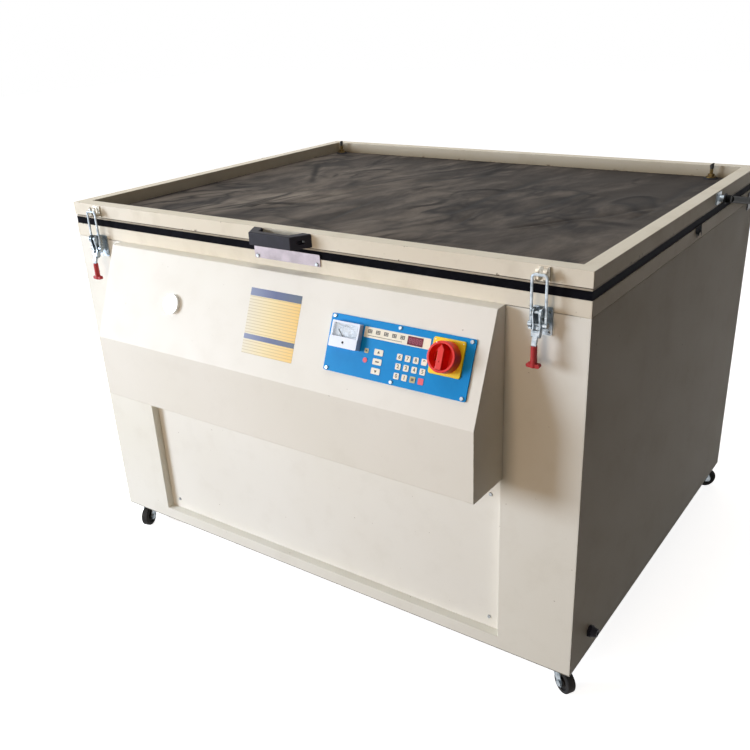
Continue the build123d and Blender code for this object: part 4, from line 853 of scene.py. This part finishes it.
rubber, shader, place = start("dark_grey_rubber_sheet_dusty", "#4B4743", 0.8, shine=0.18)
askew, layers = {}, {}
for name, (degrees, stretch, scale, detail, roughness, distortion) in LAYERS.items():
    askew[name] = add(rubber, "Mapping", {"Vector": place, "Rotation": (0, 0, math.radians(degrees)),
                                          "Scale": (stretch, 1.0, 1.0)}, vector_type="TEXTURE")
    layers[name] = add(rubber, "TexNoise", {"Vector": askew[name], "Scale": scale, "Detail": detail,
                                            "Roughness": roughness, "Distortion": distortion})
strokes = add(rubber, "Mix", {0: 0.5, 2: layers["streak"], 3: layers["crossing"]})
mixed = add(rubber, "Mix", {0: 0.5, 2: layers["cloud"], 3: strokes})
axes = add(rubber, "SeparateXYZ", {"Vector": place}).node.outputs
# The rubber is darker towards the back right.
away = add(rubber, "Math", {0: axes["X"], 1: axes["Y"]}, operation="ADD")
darker_to_back_right = add(rubber, "MapRange", {"Value": away, "From Min": -0.35, "From Max": 0.75, "To Min": 0.0,
                                   "To Max": -0.085})
less = add(rubber, "Math", {0: mixed, 1: darker_to_back_right}, operation="ADD")
dust = add(rubber, "ValToRGB", {"Fac": less},
           stops=[(0.40, "#37322E"), (0.46, "#4A443F"), (0.53, "#645C54"), (0.62, "#837A70")])
# Thin dark lines of painted shade, for fine creases that the sheet's shape doesn't have.
off_middle = add(rubber, "Math", {0: layers["smear"], 1: 0.5}, operation="SUBTRACT")
distance = add(rubber, "Math", {0: off_middle}, operation="ABSOLUTE")
thin = add(rubber, "MapRange", {"Value": distance, "From Max": 0.075, "To Min": 1.0, "To Max": 0.0})
where = add(rubber, "TexNoise", {"Vector": place, "Scale": 3.4, "Detail": 4.0})
open_part = add(rubber, "MapRange", {"Value": where, "From Min": 0.44, "From Max": 0.55, "To Max": 0.95})
fine_crease_shade = add(rubber, "Math", {0: thin, 1: open_part}, operation="MULTIPLY")
dust_and_crease_shade = add(rubber, "Mix", {0: fine_crease_shade, 6: dust, 7: "#1D1A19"}, data_type="RGBA")
# Painted shade in the grooves of the creases and wrinkles, from the attribute.
groove_shade_mask = add(rubber, "Attribute", out="Fac", attribute_name="painted_groove_shade")
dark = add(rubber, "Mix", {0: groove_shade_mask, 6: dust_and_crease_shade, 7: "#171514"}, data_type="RGBA")
ripple = add(rubber, "TexNoise", {"Vector": askew["smear"], "Scale": 60.0, "Detail": 4.0})
weave = add(rubber, "TexNoise", {"Vector": place, "Scale": per_metre(1.5), "Detail": 2.0})
both = add(rubber, "Math", {0: ripple, 1: weave}, operation="ADD")
bump = add(rubber, "Bump", {"Height": both, "Strength": 0.25, "Distance": 0.6 * MM})
plug(rubber, shader, {"Base Color": dark, "Normal": bump})
print("rubber:", rubber.name, "in", len(LAYERS), "layers")

# %% [markdown]
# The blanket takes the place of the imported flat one, with the two round pads under the nipples
# that are moulded on the same sheet. Both ride on the lid.

# %% Blanket piece and nipple pads
for face in blanket_shape.faces:
    face.smooth = True
blanket = finish_piece("rubber_blanket_creased", blanket_shape, rubber, "lid")
if blanket.data.polygons[0].normal.z < 0:
    blanket.data.flip_normals()
thick = blanket.modifiers.new("thickness", "SOLIDIFY")
thick.thickness, thick.offset = 1.7 * MM, -1.0
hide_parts("rubber_blanket")

pads = bmesh.new()
for x, y in NIPPLES:
    disc(pads, x / MM, y / MM, LID_LOW / MM + 1.45, 17, 15.3, 3.1, 48)
rims = [edge for edge in pads.edges if all(vert.co.z > LID_LOW + 2.9 * MM for vert in edge.verts)]
soften(pads, rims, 0.6, 3)
nipple_pads = finish_piece("nipple_pads", pads, pad_rubber, "lid")
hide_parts("rubber_blanket")
print("blanket", len(blanket.data.polygons), "faces, pads", len(nipple_pads.data.polygons))

# %% [markdown]
# ## Floor and light
# The floor and the background are white. Camera, mirror and glass rays meet a floor that is
# nearly white by itself, so only its shadow is darker. All other rays meet a duller warm grey,
# and a brown on the right, so the floor doesn't throw too much light up on the object.

# %% Floor
FLOOR_HALF = 14.0
WHITE = (1, 1, 1, 1)


def seen_directly(owner):
    """1 for the rays that should meet the white background."""
    path = add(owner, "LightPath").node.outputs
    seen = add(owner, "Math", {0: path["Is Camera Ray"], 1: path["Is Glossy Ray"]}, operation="MAXIMUM")
    return add(owner, "Math", {0: seen, 1: path["Is Transmission Ray"]}, operation="MAXIMUM")


floor_paint, _, place = start("white_studio_floor", "#F4F4F4", 0.9)
axes = add(floor_paint, "SeparateXYZ", {"Vector": place}).node.outputs
shade = add(floor_paint, "MapRange", {"Value": axes["X"], "From Min": 0.2, "From Max": 1.0})
floor_tone = add(floor_paint, "Mix", {0: shade, 6: "#8C857A", 7: "#54432F"}, data_type="RGBA")
dull = add(floor_paint, "BsdfDiffuse", {"Color": floor_tone})
white = add(floor_paint, "BsdfDiffuse", {"Color": (0.85, 0.85, 0.85, 1)})
glow = add(floor_paint, "Emission", {"Color": WHITE, "Strength": 0.90})
lit = add(floor_paint, "AddShader", {0: white, 1: glow})
chosen = add(floor_paint, "MixShader", {0: seen_directly(floor_paint), 1: dull, 2: lit})
plug(floor_paint, floor_paint.node_tree.nodes["Material Output"], {"Surface": chosen})
floor_shape = bmesh.new()
bmesh.ops.create_grid(floor_shape, x_segments=1, y_segments=1, size=FLOOR_HALF)
floor = show("floor", meshed("floor", floor_shape))
floor.data.materials.append(floor_paint)
print("floor", [round(v, 1) for v in floor.dimensions])

# %% [markdown]
# One large lamp stands like a window to the left, a little higher than the lid. Its light comes
# along the front, so the console throws a soft shadow to the right. A broad weak lamp above
# lights the blanket, and a small warm one stands for the room in front. The world fills the
# shadows, dimmer and warmer on the right. A bright part of it behind on the left shows the
# rear panel in its own cream.

# %% Lamps and world
def area_lamp(name, place, aim, wide, high, watts, colour):
    data = bpy.data.lights.new(name, "AREA")
    data.shape, data.size, data.size_y = "RECTANGLE", wide, high
    data.energy, data.color = watts, linear(colour)[:3]
    stand = show(name, data)
    stand.rotation_euler = (Vector(aim) - Vector(place)).to_track_quat("-Z", "Y").to_euler()
    stand.location = place


area_lamp("window", (-3.5, -3.5, 1.35), (0.0, -0.4, 0.5), 1.8, 1.6, 224, "#E4EFFF")
area_lamp("room", (0.0, -4.2, 1.0), (0.2, -0.5, 0.4), 1.1, 1.1, 34, "#FFE0C2")
area_lamp("ceiling", (-0.9, -0.2, 3.4), (-0.3, 0.0, 0.8), 2.8, 2.8, 52, "#FFFFFF")
world = bpy.data.worlds.new("studio")
bpy.context.scene.world = world
world.use_nodes = True
axes = add(world, "SeparateXYZ", {"Vector": add(world, "TexCoord", out="Object")}).node.outputs
across = add(world, "MapRange", {"Value": axes["X"], "From Min": -1.0, "From Max": 1.0})
room = add(world, "ValToRGB", {"Fac": across},
           stops=[(0.0, "#A0A2A6"), (0.45, "#85786A"), (0.62, "#352819"), (1.0, "#170F08")])
behind = add(world, "MapRange", {"Value": axes["Y"], "From Min": 0.2, "From Max": 0.7})
left_half = add(world, "MapRange", {"Value": axes["X"], "From Min": 0.05, "From Max": -0.15})
rear = add(world, "Math", {0: behind, 1: left_half}, operation="MULTIPLY")
around = add(world, "Mix", {0: rear, 6: room, 7: "#EFEBE3"}, data_type="RGBA")
sky = add(world, "Mix", {0: seen_directly(world), 6: around, 7: WHITE}, data_type="RGBA")
plug(world, world.node_tree.nodes["Background"], {"Color": sky})
bpy.context.scene.view_settings.view_transform = "Standard"
